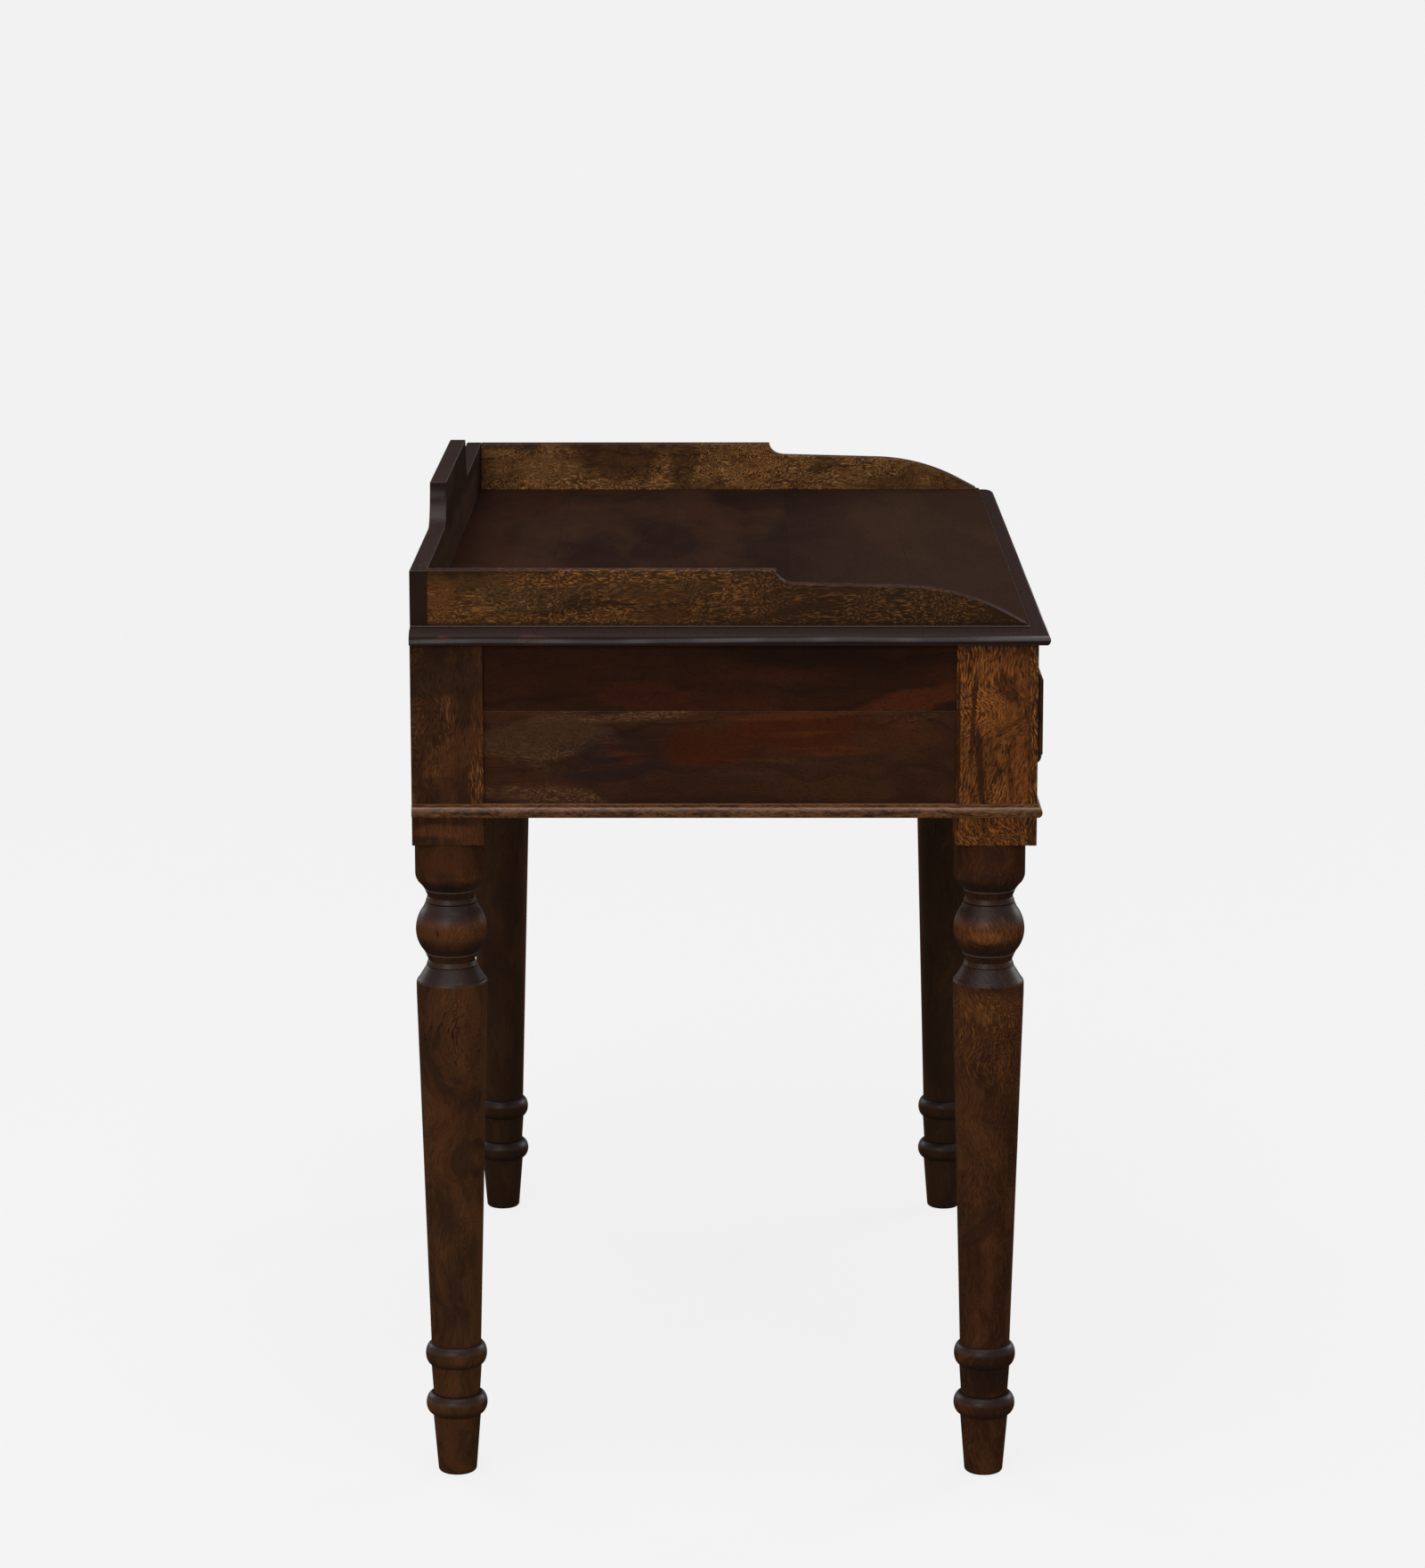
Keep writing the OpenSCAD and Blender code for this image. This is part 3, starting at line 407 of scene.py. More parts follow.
def top_marks(place, fibre, colour, flecks, deep, band):
    """Smooth dark clouds that run on from board to board, red light in the back corner, and a front painted a
    lighter brown as a painted sheen. The moulding is nearly black, with painted highlights on its nose and
    arris."""
    y, height = split(place)[1:]
    drift = cloud(stretch(place, 2.2, 8.0, 8.0), 1.0, 2.0)
    colour = blend(step(drift, 0.44, 0.60) * 0.5, colour, tone(26, 17, 15))
    colour = blend((1 - step(drift, 0.36, 0.46)) * 0.4, colour, tone(50, 33, 25))
    rim = step(drift + (band - 0.5) * 0.05, 0.475, 0.505) * (1 - step(drift, 0.50, 0.62))
    colour = blend(rim * 0.35, colour, tone(24, 16, 16))
    ember = step(cloud(stretch(place, 2.8, 10.0, 10.0), 1.4, 1.5), 0.48, 0.60) * rise(y, -20, 100)
    colour = blend(ember * 0.5, colour, tone(46, 26, 18))
    # Painted sheen: the front of the top is painted a lighter brown
    front = 1 - rise(y, -200, 20)
    colour = blend(front * 0.5, colour, tone(48, 34, 26))
    edge = 1 - rise(height, TOP - 1.6, TOP - 1.0)
    colour = blend(edge * 0.85, colour, tone(40, 31, 30))
    nose, arris = painted_highlight_bands(place)
    colour = blend(patch(place, (248, 752), (9, 4), 0, 0.8) * edge * 0.6, colour, tone(96, 48, 34))
    colour = blend(patch(place, (170, 752), (14, 4), 0, 0.8) * edge * 0.4, colour, tone(80, 46, 38))
    # Painted highlights: a pale grey line along the moulding's nose, and a paler one on its upper arris
    colour = blend(nose * 0.85, colour, tone(108, 103, 106))
    return blend(arris * 0.9, colour, tone(120, 106, 98)), flecks * 0.0, deep


def top_finish(place, coat, relief, bump):
    """The bands with a painted highlight have a thicker coat as well."""
    nose, arris = painted_highlight_bands(place)
    return coat + nose * 0.35 + arris * 0.15, bump


top_wood = sheesham("stained_top_wood", 0, 1.0, tone(32, 20, 16), tone(42, 28, 20), tone(26, 17, 15),
                    tone(42, 23, 16), heart=0.4, glow=0.2, fleck=0.0, hair=0.15, curly=0.6, ring=0.25,
                    wax=0.006, sheen=0.015, board=(FRONT, TOP_BOARD), marks=top_marks, finish=top_finish)
sanded("tabletop", "tabletop_waxed", "table", top_wood, radius=0.8)

# The gallery: a back board with a raised middle and two side boards that sweep down to the front. Each is one
# piece of sheesham, sawn to its curve, sanded, and screwed from under the top.


def painted_sheen_on_top(place, colour):
    """The boards' upper edges and the faces that look up are painted violet-grey, as a painted sheen."""
    lift = split(place.also("Normal"))[2]
    return blend(step(lift, 0.3, 0.8) * 0.75, colour, tone(41, 32, 31))


def left_marks(place, fibre, colour, flecks, deep, band):
    """The left board: orange at the back, then an olive patch with flecks round it, and darker forwards."""
    y, height = split(place)[1:]
    forward = 1 - rise(y, -60, 80)
    # Darker along the foot, where the board meets the top
    foot = 1 - rise(height, TOP + 1.0, TOP + 4.5)
    dusk = patch(place, (120, 792), (120, 7), -3, 0.8)
    colour = blend(patch(place, (252, 786), (16, 34), 0, 0.6) * 0.5, colour, tone(80, 47, 22))
    colour = blend(patch(place, (188, 784), (46, 14), 6, 0.7) * 0.7, colour, tone(52, 38, 22))
    colour = blend(forward * 0.85, colour, tone(36, 24, 15))
    colour = blend(dusk * 0.5, colour, tone(46, 32, 20))
    colour = blend(foot * 0.65, colour, tone(28, 19, 14))
    flecks = flecks * (1 - forward * 0.45) * (1 - foot * 0.7) * (1 - dusk * 0.5)
    return painted_sheen_on_top(place, colour), flecks, deep


def right_marks(place, fibre, colour, flecks, deep, band):
    """The right board: golden at the back, then two dark clouds, and golden again with dark ones forwards."""
    dark = most(patch(place, (122, 792), (38, 30), 20, 0.9), patch(place, (52, 786), (16, 34), 10, 0.9),
                patch(place, (-90, 790), (22, 12), -20, 1.2), patch(place, (228, 808), (40, 7), 0, 0.9))
    colour = blend(dark * 0.6, colour, tone(40, 26, 17))
    colour = blend(patch(place, (190, 785), (38, 18), 0, 0.9) * 0.5, colour, tone(96, 66, 38))
    return painted_sheen_on_top(place, colour), flecks * (1 - dark * 0.7), deep


def back_marks(place, fibre, colour, flecks, deep, band):
    """The back board has only its painted sheen on top."""
    return painted_sheen_on_top(place, colour), flecks, deep


gallery = {
    "gallery_left": sheesham(
        "gallery_left_wood", 1, 2.3, tone(49, 30, 16), tone(67, 42, 21), tone(30, 20, 12), tone(74, 40, 19),
        heart=0.15, glow=0.35, fleck=0.85, hair=0.6, curly=0.8, ring=0.3, grit=0.3, shot=(124, 81, 42),
        sheen=0.12, marks=left_marks),
    "gallery_right": sheesham(
        "gallery_right_wood", 1, 5.9, tone(66, 42, 24), tone(92, 62, 34), tone(38, 24, 15), tone(90, 52, 27),
        heart=0.2, glow=0.3, fleck=0.65, hair=0.7, curly=1.2, ring=0.75, mottle=0.6, grit=0.3,
        shot=(150, 107, 62), sheen=0.12, marks=right_marks),
    "gallery_back": sheesham(
        "gallery_back_wood", 0, 7.7, tone(43, 30, 25), tone(52, 37, 29), tone(35, 25, 21), tone(56, 33, 25),
        heart=0.4, glow=0.2, fleck=0.1, hair=0.15, curly=0.4, ring=0.25, grit=0.05, sheen=0.12,
        marks=back_marks),
}
for node, wood in gallery.items():
    sanded(node, node + "_sanded", "table", wood, radius=1.1)

# The legs: each is one square post of sheesham. The upper part stays square for the joints, and below the
# body it is turned on a lathe: a cup, a neck, a ball, a second neck, a shoulder, a long taper, two rings and
# a foot. The sizes are radii, heights and lengths, with slopes in degrees.
LEG_X, LEG_FRONT_Y, LEG_BACK_Y = 417.0, -220.35, 245.65
POST, BLOCK_END, POST_TOP, POST_ARRIS = 62.0, 572.0, 747.0, 0.7
TURNED, INTO_POST, SIDES, HUB = 30.8, 1.0, 96, 1.0
CUP_END, CUP_ROUND, CUP_SLOPE = 543.0, 13.0, 50
NECK, NECK_TALL, NECK_IN, BAND, BAND_OUT, CREASE = 20.2, 12.0, 2.6, 5.5, 1.8, 0.6
BALL_Z, BALL_CURVE, BALL_UP, BALL_DOWN, BALL_SLOPE = 492.5, 29.0, 31.0, 28.5, 40
ABOVE_BALL, BELOW_BALL = 3.8, 1.2
UPPER_NECK = BALL_Z + BALL_UP * sin(radians(BALL_SLOPE)) + ABOVE_BALL + NECK_TALL
LOWER_NECK = BALL_Z - BALL_DOWN * sin(radians(BALL_SLOPE)) - BELOW_BALL - 2 * CREASE
SHOULDER_Z, SHOULDER_ROUND, SHOULDER_SLOPE, SHOULDER_LEVEL = 445.0, 6.0, 50, 8.0
ANKLE, ANKLE_LOW, RING_OUT, RING_HIGH, RING_LOW, RING_TALL = 21.9, 20.5, 27.0, 109.0, 63.5, 20.0
FOOT, FOOT_ROUND = 17.0, 3.5


def bend(middle, out, tall, start, end, count):
    """Points along an arc of an oval, from one angle to another: radius and height."""
    angles = [radians(start + (end - start) * i / count) for i in range(count + 1)]
    return [(middle[0] + out * cos(a), middle[1] + tall * sin(a)) for a in angles]


def neck(top):
    """A fine groove, a slope in to the waist, a band that flares out, and another fine groove."""
    waist, foot = top - NECK_TALL + BAND, top - NECK_TALL
    return [(NECK + NECK_IN + CREASE, top + 2 * CREASE), (NECK + NECK_IN - CREASE, top + CREASE),
            (NECK + NECK_IN, top), (NECK + CREASE / 2, waist + 2 * CREASE), (NECK, waist),
            (NECK + CREASE, waist - CREASE), (NECK + BAND_OUT, foot + 2 * CREASE),
            (NECK + BAND_OUT - CREASE, foot + CREASE), (NECK + BAND_OUT + CREASE / 2, foot)]


def ankle_ring(middle, radius):
    """A rounded ring that stands out from the leg."""
    return bend((radius, middle), RING_OUT - radius, RING_TALL / 2, 80, -80, 22)


turning = (
    [(0, BLOCK_END + INTO_POST), (TURNED, BLOCK_END + INTO_POST)]
    + bend((TURNED - CUP_ROUND, CUP_END), CUP_ROUND, CUP_ROUND, 0, -CUP_SLOPE, 10)
    + neck(UPPER_NECK)
    + bend((TURNED - BALL_CURVE, BALL_Z), BALL_CURVE, BALL_UP, BALL_SLOPE, 0, 14)
    + bend((TURNED - BALL_CURVE, BALL_Z), BALL_CURVE, BALL_DOWN, -BALL_SLOPE / 14, -BALL_SLOPE, 13)
    + neck(LOWER_NECK)
    + bend((TURNED - SHOULDER_ROUND, SHOULDER_Z), SHOULDER_ROUND, SHOULDER_ROUND, SHOULDER_SLOPE, 0, 10)
    + [(TURNED, SHOULDER_Z - SHOULDER_LEVEL), (ANKLE, RING_HIGH + RING_TALL / 2)]
    + ankle_ring(RING_HIGH, (ANKLE + ANKLE_LOW) / 2)
    + [(ANKLE_LOW, RING_LOW + RING_TALL / 2)]
    + ankle_ring(RING_LOW, ANKLE_LOW * 1.5 - ANKLE / 2)
    + bend((FOOT - FOOT_ROUND, FOOT_ROUND), FOOT_ROUND, FOOT_ROUND, 0, -90, 8)
    + [(0, 0)]
)


def tree_of_nodes(name, sizes):
    """A Geometry Nodes tree with a shape input, one input for each size, a material input and a shape
    output."""
    tree = bpy.data.node_groups.new(name, "GeometryNodeTree")
    tree.interface.new_socket("Shape", in_out="INPUT", socket_type="NodeSocketGeometry")
    for label, value in sizes.items():
        kind = "NodeSocket" + {int: "Int", float: "Float", tuple: "Vector"}[type(value)]
        tree.interface.new_socket(label, in_out="INPUT", socket_type=kind).default_value = value
    tree.interface.new_socket("Finish", in_out="INPUT", socket_type="NodeSocketMaterial")
    tree.interface.new_socket("Shape", in_out="OUTPUT", socket_type="NodeSocketGeometry")
    return tree, Wire(tree).node("NodeGroupInput", {}, {})


def joined(first, second):
    """Two shapes as one."""
    both = first.node("GeometryNodeJoinGeometry", {}, {0: first})
    both.tree.links.new(second.socket, both.socket.node.inputs[0])
    return both


def moved(shape, way):
    """A shape moved along a vector."""
    return shape.node("GeometryNodeTransform", {}, {"Geometry": shape, "Translation": way})


def close_tree(shape, given):
    """Realizes the instances, sets the material and ends the tree."""
    solid = shape.node("GeometryNodeRealizeInstances", {}, {0: shape})
    dressed = shape.node("GeometryNodeSetMaterial", {}, {"Geometry": solid, "Material": given.also("Finish")})
    shape.node("NodeGroupOutput", {}, {0: dressed})


def grown(name, seed_mesh, tree, values, material, radius=0.0):
    """The plain mesh that a tree makes from a seed mesh. radius rounds the edges that the tree marks, in
    millimetres."""
    helper = bpy.data.objects.new(name + "_seed", seed_mesh)
    bpy.context.scene.collection.objects.link(helper)
    modifier = helper.modifiers.new("tree", "NODES")
    modifier.node_group = tree
    for item in tree.interface.items_tree:
        if item.in_out == "INPUT" and item.name in values:
            modifier[item.identifier] = values[item.name]
        if item.in_out == "INPUT" and item.name == "Finish":
            modifier[item.identifier] = material
    if radius:
        soft = helper.modifiers.new("arris", "BEVEL")
        soft.limit_method, soft.width, soft.segments = "WEIGHT", radius * MM, 3
    bpy.context.view_layer.update()
    mesh = bpy.data.meshes.new_from_object(helper.evaluated_get(bpy.context.evaluated_depsgraph_get()))
    bpy.data.objects.remove(helper)
    work = bmesh.new()
    work.from_mesh(mesh)
    bmesh.ops.remove_doubles(work, verts=work.verts, dist=0.001 * MM)
    bmesh.ops.recalc_face_normals(work, faces=work.faces)
    work.to_mesh(mesh)
    work.free()
    mesh.name = name
    piece = bpy.data.objects.new(name, mesh)
    bpy.context.scene.collection.objects.link(piece)
    return piece


leg_tree, given = tree_of_nodes("turned_leg", {
    "Sides": SIDES, "Hub": HUB * MM, "Axis": (0.0, 0.0, 0.0), "Post Width": POST * MM,
    "Block End": BLOCK_END * MM, "Post Top": POST_TOP * MM})
hoop = given.node("GeometryNodeCurvePrimitiveCircle", {"mode": "RADIUS"},
                  {"Resolution": given.also("Sides"), "Radius": given.also("Hub")})
outline = given.node("GeometryNodeMeshToCurve", {}, {0: given.also("Shape")})
round_part = given.node("GeometryNodeCurveToMesh", {}, {"Curve": hoop, "Profile Curve": outline})
round_part = given.node("GeometryNodeMergeByDistance", {}, {"Geometry": round_part, "Distance": 0.01 * MM})
post_width, block_end, post_top = [given.also(size) for size in ("Post Width", "Block End", "Post Top")]
post_size = xyz(given, post_width, post_width, post_top - block_end)
square_part = given.node("GeometryNodeMeshCube", {}, {"Size": post_size})
square_part = given.node("GeometryNodeStoreNamedAttribute", {"data_type": "FLOAT", "domain": "EDGE"},
                         {"Geometry": square_part, "Name": "bevel_weight_edge", "Value": 1.0})
square_part = moved(square_part, xyz(given, 0.0, 0.0, (post_top + block_end) * 0.5))
close_tree(moved(joined(square_part, round_part), given.also("Axis")), given)

# Heights at which the ball's bright belly and the shaft's cracks start, are full, fade and end, and between
# which the shade under the bead begins
BELLY, SHAFT, UNDER_BEAD = (482, 491, 498, 510), (340, 400, 430, 445), (594, 598)


def leg_marks(block, outer, turning_paint, clouds, patches):
    """What one leg shows: the tint of its square part and of all but its left side, which on the far legs
    lifts their painted shade off all but the side that faces under the table, a turning with a quiet, cloudy
    figure, painted shade where it faces down and a painted violet-grey sheen where it faces up, a bright
    belly round the ball, ovals of another tone, painted highlights along two fine grooves, a painted shadow
    under the top's overhang, painted shade on the block under the bead, and drying cracks."""
    def draw(place, fibre, colour, flecks, deep, band):
        height = split(place)[2]
        aspect = split(place.also("Normal"))
        square = rise(height, BLOCK_END - 1, BLOCK_END + 1)
        turned = 1 - square
        shown = blend(square, colour, block, "MULTIPLY")
        shown = blend(turned * 0.5, shown, tone(*turning_paint))
        shown = blend(step(aspect[0], -0.6, -0.15), shown, outer, "MULTIPLY")
        soft = cloud(stretch(fibre, 11.0, 40.0, 40.0), 1.0, 3.0, 0.55)
        shown = blend(turned * step(soft, 0.52, 0.61) * (clouds * 0.5), shown, tone(27, 17, 12))
        shown = blend(turned * (1 - step(soft, 0.39, 0.48)) * (clouds * 0.4), shown, tone(68, 40, 21))
        cup = rise(height, CUP_END - 5, CUP_END + 3) * turned
        shown = blend(cup * 0.35, shown, tone(40, 19, 11))
        # Painted shadow at the top of the post under the top's overhang, and painted shade on the block under
        # the bead
        shown = blend(rise(height, POST_TOP - 23, POST_TOP) * 0.5, shown, tone(30, 20, 13))
        shown = blend(square * (1 - rise(height, *UNDER_BEAD)) * 0.35, shown, tone(34, 19, 11))
        belly = between(height, *BELLY)
        shown = blend(belly * 0.5, shown, tone(72, 41, 21))
        for middle, half, lean, share, paint in patches:
            oval = patch(place, middle, half, lean, 0.6) * share
            shown = blend(oval, shown, tone(*paint))
            flecks = flecks * (1 - oval * square)
        # Painted violet-grey sheen where the wood faces up, and painted shade where it faces down
        shown = blend(step(aspect[2], 0.12, 0.58) * 0.8, shown, tone(25, 18, 19))
        shown = blend((1 - step(aspect[2], -0.6, -0.05)) * 0.75, shown, tone(20, 13, 10))
        # Painted highlights: pale lines along the two fine grooves
        for groove in (UPPER_NECK, LOWER_NECK):
            line = between(height, groove - 0.7, groove - 0.2, groove + 0.6, groove + 1.1)
            shown = blend(line * 0.45, shown, tone(92, 80, 76))
        zone = most(between(height, *SHAFT), belly)
        split_wood = abs(cloud(stretch(fibre, 7.0, 95.0, 95.0), 1.0, 2.0) - 0.5)
        crack = (1 - step(split_wood, 0.002, 0.013)) * zone * step(cloud(fibre, 60.0, 0.0), 0.40, 0.52)
        shown = blend(crack * 0.85, shown, tone(14, 8, 6))
        return shown, flecks * (square + turned * (zone * 0.35 + 0.12)), deep * (square * 0.65 + 0.35)
    return draw


def leg_finish(place, coat, relief, bump):
    """Fine lines round the turning from the chisel, and a coat that rubbing builds up on the curves."""
    height = split(place)[2]
    turned = 1 - rise(height, BLOCK_END - 2, BLOCK_END + 1)
    lines = wave(height, 520.0, 2.0)
    return coat * (turned * 0.8 + 0.2), bumped(relief + lines * turned * 0.5, WOOD_RELIEF)


# What each leg is and shows. block tints its square part, and outer all but its left side. The far legs'
# darker tones are a painted shade, which LIT lifts off all but their left side, the side that faces under the
# table. Each patch has a middle, half sizes, a lean, a share and a colour.
near_tones = (tone(45, 28, 16), tone(60, 38, 21), tone(29, 19, 12), tone(66, 35, 18))
# Painted shade: the far legs take darker copies of the near legs' tones
shaded_far_tones = (tone(33, 22, 14), tone(42, 28, 17), tone(25, 17, 12), tone(44, 26, 15))
far_figure = dict(fleck=0.0, hair=0.3, mottle=0.2, glow=0.3)
LIT = (1.85, 1.6, 1.4, 1.0)
legs = {
    "leg_back_left": dict(
        axis=(-LEG_X, LEG_BACK_Y), seed=3.1, tones=near_tones,
        figure=dict(fleck=0.45, hair=0.6, mottle=0.7, glow=0.35),
        marks=leg_marks((1.4, 1.2, 1.15, 1.0), WHITE, turning_paint=(51, 30, 15), clouds=1.0, patches=(
            ((252, 556), (14, 12), 0, 0.2, (66, 32, 18)),
            ((246, 718), (44, 30), 0, 0.8, (34, 22, 15)),
            ((232, 655), (20, 34), 55, 0.4, (74, 41, 22)),
            ((250, 620), (34, 14), 0, 0.5, (38, 22, 14)),
            ((246, 584), (32, 8), 0, 0.45, (84, 48, 27))))),
    "leg_front_left": dict(
        axis=(-LEG_X, LEG_FRONT_Y), seed=8.4, tones=near_tones,
        figure=dict(fleck=0.7, hair=0.85, mottle=0.65, glow=0.1, grit=0.85),
        marks=leg_marks((2.52, 1.86, 1.22, 1.0), WHITE, turning_paint=(46, 22, 9), clouds=1.0, patches=(
            ((-216, 490), (22, 7), 0, 0.5, (96, 56, 26)),
            ((-220, 430), (34, 16), 0, 0.3, (76, 45, 23)),
            ((-218, 552), (22, 8), 0, 0.2, (60, 33, 17)),
            # Painted shade between the two ankle rings
            ((-214, 89), (32, 17), 0, 0.6, (23, 15, 12)),
            ((-191, 660), (100, 2.2), 90, 0.9, (38, 20, 11)),
            ((-204, 690), (58, 2.6), 93, 0.85, (42, 22, 12)),
            ((-210, 636), (52, 3.4), 86, 0.85, (40, 21, 12)),
            ((-234, 708), (18, 9), 60, 0.7, (46, 25, 13)),
            ((-222, 640), (16, 6), 70, 0.5, (48, 26, 14)),
            ((-236, 625), (30, 4), 84, 0.6, (46, 25, 14))))),
    "leg_back_right": dict(
        axis=(LEG_X, LEG_BACK_Y), seed=12.2, tones=shaded_far_tones, figure=far_figure,
        marks=leg_marks(WHITE, LIT, turning_paint=(34, 21, 13), clouds=0.35, patches=())),
    "leg_front_right": dict(
        axis=(LEG_X, LEG_FRONT_Y), seed=16.9, tones=shaded_far_tones, figure=far_figure,
        marks=leg_marks(WHITE, LIT, turning_paint=(40, 27, 17), clouds=0.35, patches=())),
}
for node, own in legs.items():
    x, y = own["axis"]
    wood = sheesham(node + "_wood", 2, own["seed"], *own["tones"], heart=0.35, curly=0.9, ring=0.5,
                    shot=(132, 80, 38), wax=0.02, sheen=0.2, gloss=0.4, marks=own["marks"],
                    finish=leg_finish, **own["figure"])
    seed_mesh = bpy.data.meshes.new(node + "_outline")
    seed_mesh.from_pydata([((r - HUB) * MM, -z * MM, 0) for r, z in turning],
                          [(i, i + 1) for i in range(len(turning) - 1)], [])
    leg = grown(node + "_turned", seed_mesh, leg_tree, {"Axis": (x * MM, y * MM, 0.0)}, wood, POST_ARRIS)
    shade(leg.data)
    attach(leg, "table")
    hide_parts(node)

# The facings: thin boards of a brighter sheesham with a straight grain, planed and glued to the front face of
# each front post.
facing_wood = sheesham("facing_wood", 2, 4.2, tone(51, 29, 16), tone(70, 41, 21), tone(35, 21, 13),
                       tone(54, 29, 16), heart=0.3, glow=0.2, fleck=0.75, hair=0.9, curly=0.6, ring=0.5,
                       mottle=0.7, grit=0.8, shot=(134, 85, 41))
for node in ("facing_left", "facing_right"):
    sanded(node, node + "_sanded", "table", facing_wood, radius=0.7)

# The front rails and the divider between the drawers: planed sheesham, tenoned into each other and into the
# posts, with the grain along their length.
frame_tones = (tone(50, 32, 20), tone(68, 45, 26), tone(35, 22, 15), tone(72, 38, 22))
rail_wood = sheesham("rail_wood", 0, 6.1, *frame_tones, heart=0.4, glow=0.3, fleck=0.4, ring=0.35)
divider_wood = sheesham("divider_wood", 2, 6.6, *frame_tones, heart=0.3, glow=0.3, fleck=0.4, ring=0.35)
for node, wood in (("front_top_rail", rail_wood), ("front_bottom_rail", rail_wood),
                   ("drawer_divider", divider_wood)):
    sanded(node, node + "_sanded", "table", wood, radius=0.6)

# The end boards and the back: two boards of sheesham butted edge to edge in each end, and a panel at the
# back, with tongues in the posts. The lower board of the left end is the most figured piece of the table.


def upper_marks(place, fibre, colour, flecks, deep, band):
    """The left end's upper board: dark, with two faint red glows."""
    colour = blend(patch(place, (-160, 698), (60, 12), -12, 0.9) * 0.5, colour, tone(70, 32, 15))
    colour = blend(patch(place, (60, 700), (90, 16), 4, 0.9) * 0.25, colour, tone(60, 26, 14))
    return colour, flecks * 0.0, deep


def lower_marks(place, fibre, colour, flecks, deep, band):
    """The left end's lower board: olive wood with golden flecks at the back, then a black heart, then a red
    glow."""
    pale = most(patch(place, (165, 664), (66, 28), -8, 0.8), patch(place, (100, 683), (80, 5), -4, 0.6),
                patch(place, (165, 614), (66, 12), 6, 0.9))
    colour = blend(pale * 0.7, colour, tone(58, 38, 24))
    colour = blend(patch(place, (104, 648), (56, 23), -8, 0.8) * 0.75, colour, tone(31, 21, 19))
    colour = blend(patch(place, (-16, 664), (120, 20), -5, 0.8) * 0.7, colour, tone(52, 20, 8))
    streaks = step(cloud(stretch(place, 20.0, 7.0, 90.0), 1.0, 3.0, 0.6), 0.52, 0.66)
    colour = blend(streaks * patch(place, (-20, 660), (170, 34), -4, 0.8) * 0.4, colour, tone(72, 38, 18))
    colour = blend(patch(place, (-40, 638), (120, 9), -6, 0.8) * 0.4, colour, tone(38, 24, 17))
    tip = patch(place, (-158, 683), (36, 4), -6, 0.6)
    return colour, flecks * (most(pale, tip * 0.35) * 0.9), deep


upper_tones = (tone(32, 17, 10), tone(40, 21, 12), tone(24, 14, 10), tone(49, 23, 13))
lower_tones = (tone(40, 23, 14), tone(50, 29, 16), tone(29, 18, 13), tone(56, 27, 14))
for node, seed, tones, fleck, marks in (
        ("end_upper_board_left", 18.3, upper_tones, 0.2, upper_marks),
        ("end_lower_board_left", 18.3, lower_tones, 0.95, lower_marks),
        ("end_upper_board_right", 23.7, upper_tones, 0.2, None),
        ("end_lower_board_right", 23.7, lower_tones, 0.2, None)):
    wood = sheesham(node + "_wood", 1, seed, *tones, heart=0.4, glow=0.4, fleck=fleck, hair=0.45, curly=0.8,
                    ring=0.45, shot=(96, 68, 42), marks=marks)
    sanded(node, node + "_sanded", "table", wood, radius=0.4)
back_wood = sheesham("back_panel_wood", 0, 21.5, *lower_tones, heart=0.4, glow=0.35, fleck=0.1, ring=0.35)
sanded("back_panel", "back_panel_sanded", "table", back_wood, radius=0.5)

# The bead: a small rounded moulding of sheesham round the bottom of the body, mitred at the front corners,
# glued and pinned.


def bead_marks(place, fibre, colour, flecks, deep, band):
    """The bead's top is painted paler, as a painted highlight where it faces up."""
    lift = split(place.also("Normal"))[2]
    return blend(step(lift, 0.3, 0.8) * 0.5, colour, tone(122, 86, 64)), flecks, deep


bead_look = dict(heart=0.3, glow=0.3, fleck=0.4, hair=0.6, curly=0.5, ring=0.5, mottle=0.6, grit=0.8,
                 wax=0.02, sheen=0.3, marks=bead_marks)
bead_tones = (tone(66, 41, 25), tone(90, 59, 36), tone(32, 20, 13), tone(76, 42, 25))
bead_end_wood = sheesham("bead_end_wood", 1, 10.9, *bead_tones, **bead_look)
bead_front_wood = sheesham("bead_front_wood", 0, 11.9, *bead_tones, **bead_look)
for node, wood in (("bead_left", bead_end_wood), ("bead_right", bead_end_wood),
                   ("bead_front", bead_front_wood)):
    sanded(node, node + "_sanded", "table", wood, radius=0.3)

# The drawer slides: planed battens of a pale wood, unstained. Runners and guides carry the drawers, and the
# kickers keep them from tipping.
bare = dict(heart=0.1, glow=0.1, fleck=0.0, hair=0.15, curly=0.2, ring=0.25, wax=0.0, sheen=0.0)
batten_tones = (tone(148, 116, 78), tone(166, 134, 94), tone(112, 82, 52), tone(150, 106, 68))
batten_wood = sheesham("batten_wood", 1, 31.0, *batten_tones, **bare)
for node in [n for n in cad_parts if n.startswith(("guide", "runner_left", "runner_right", "kicker"))]:
    sanded(node, node + "_planed", "table", batten_wood, radius=0.5)

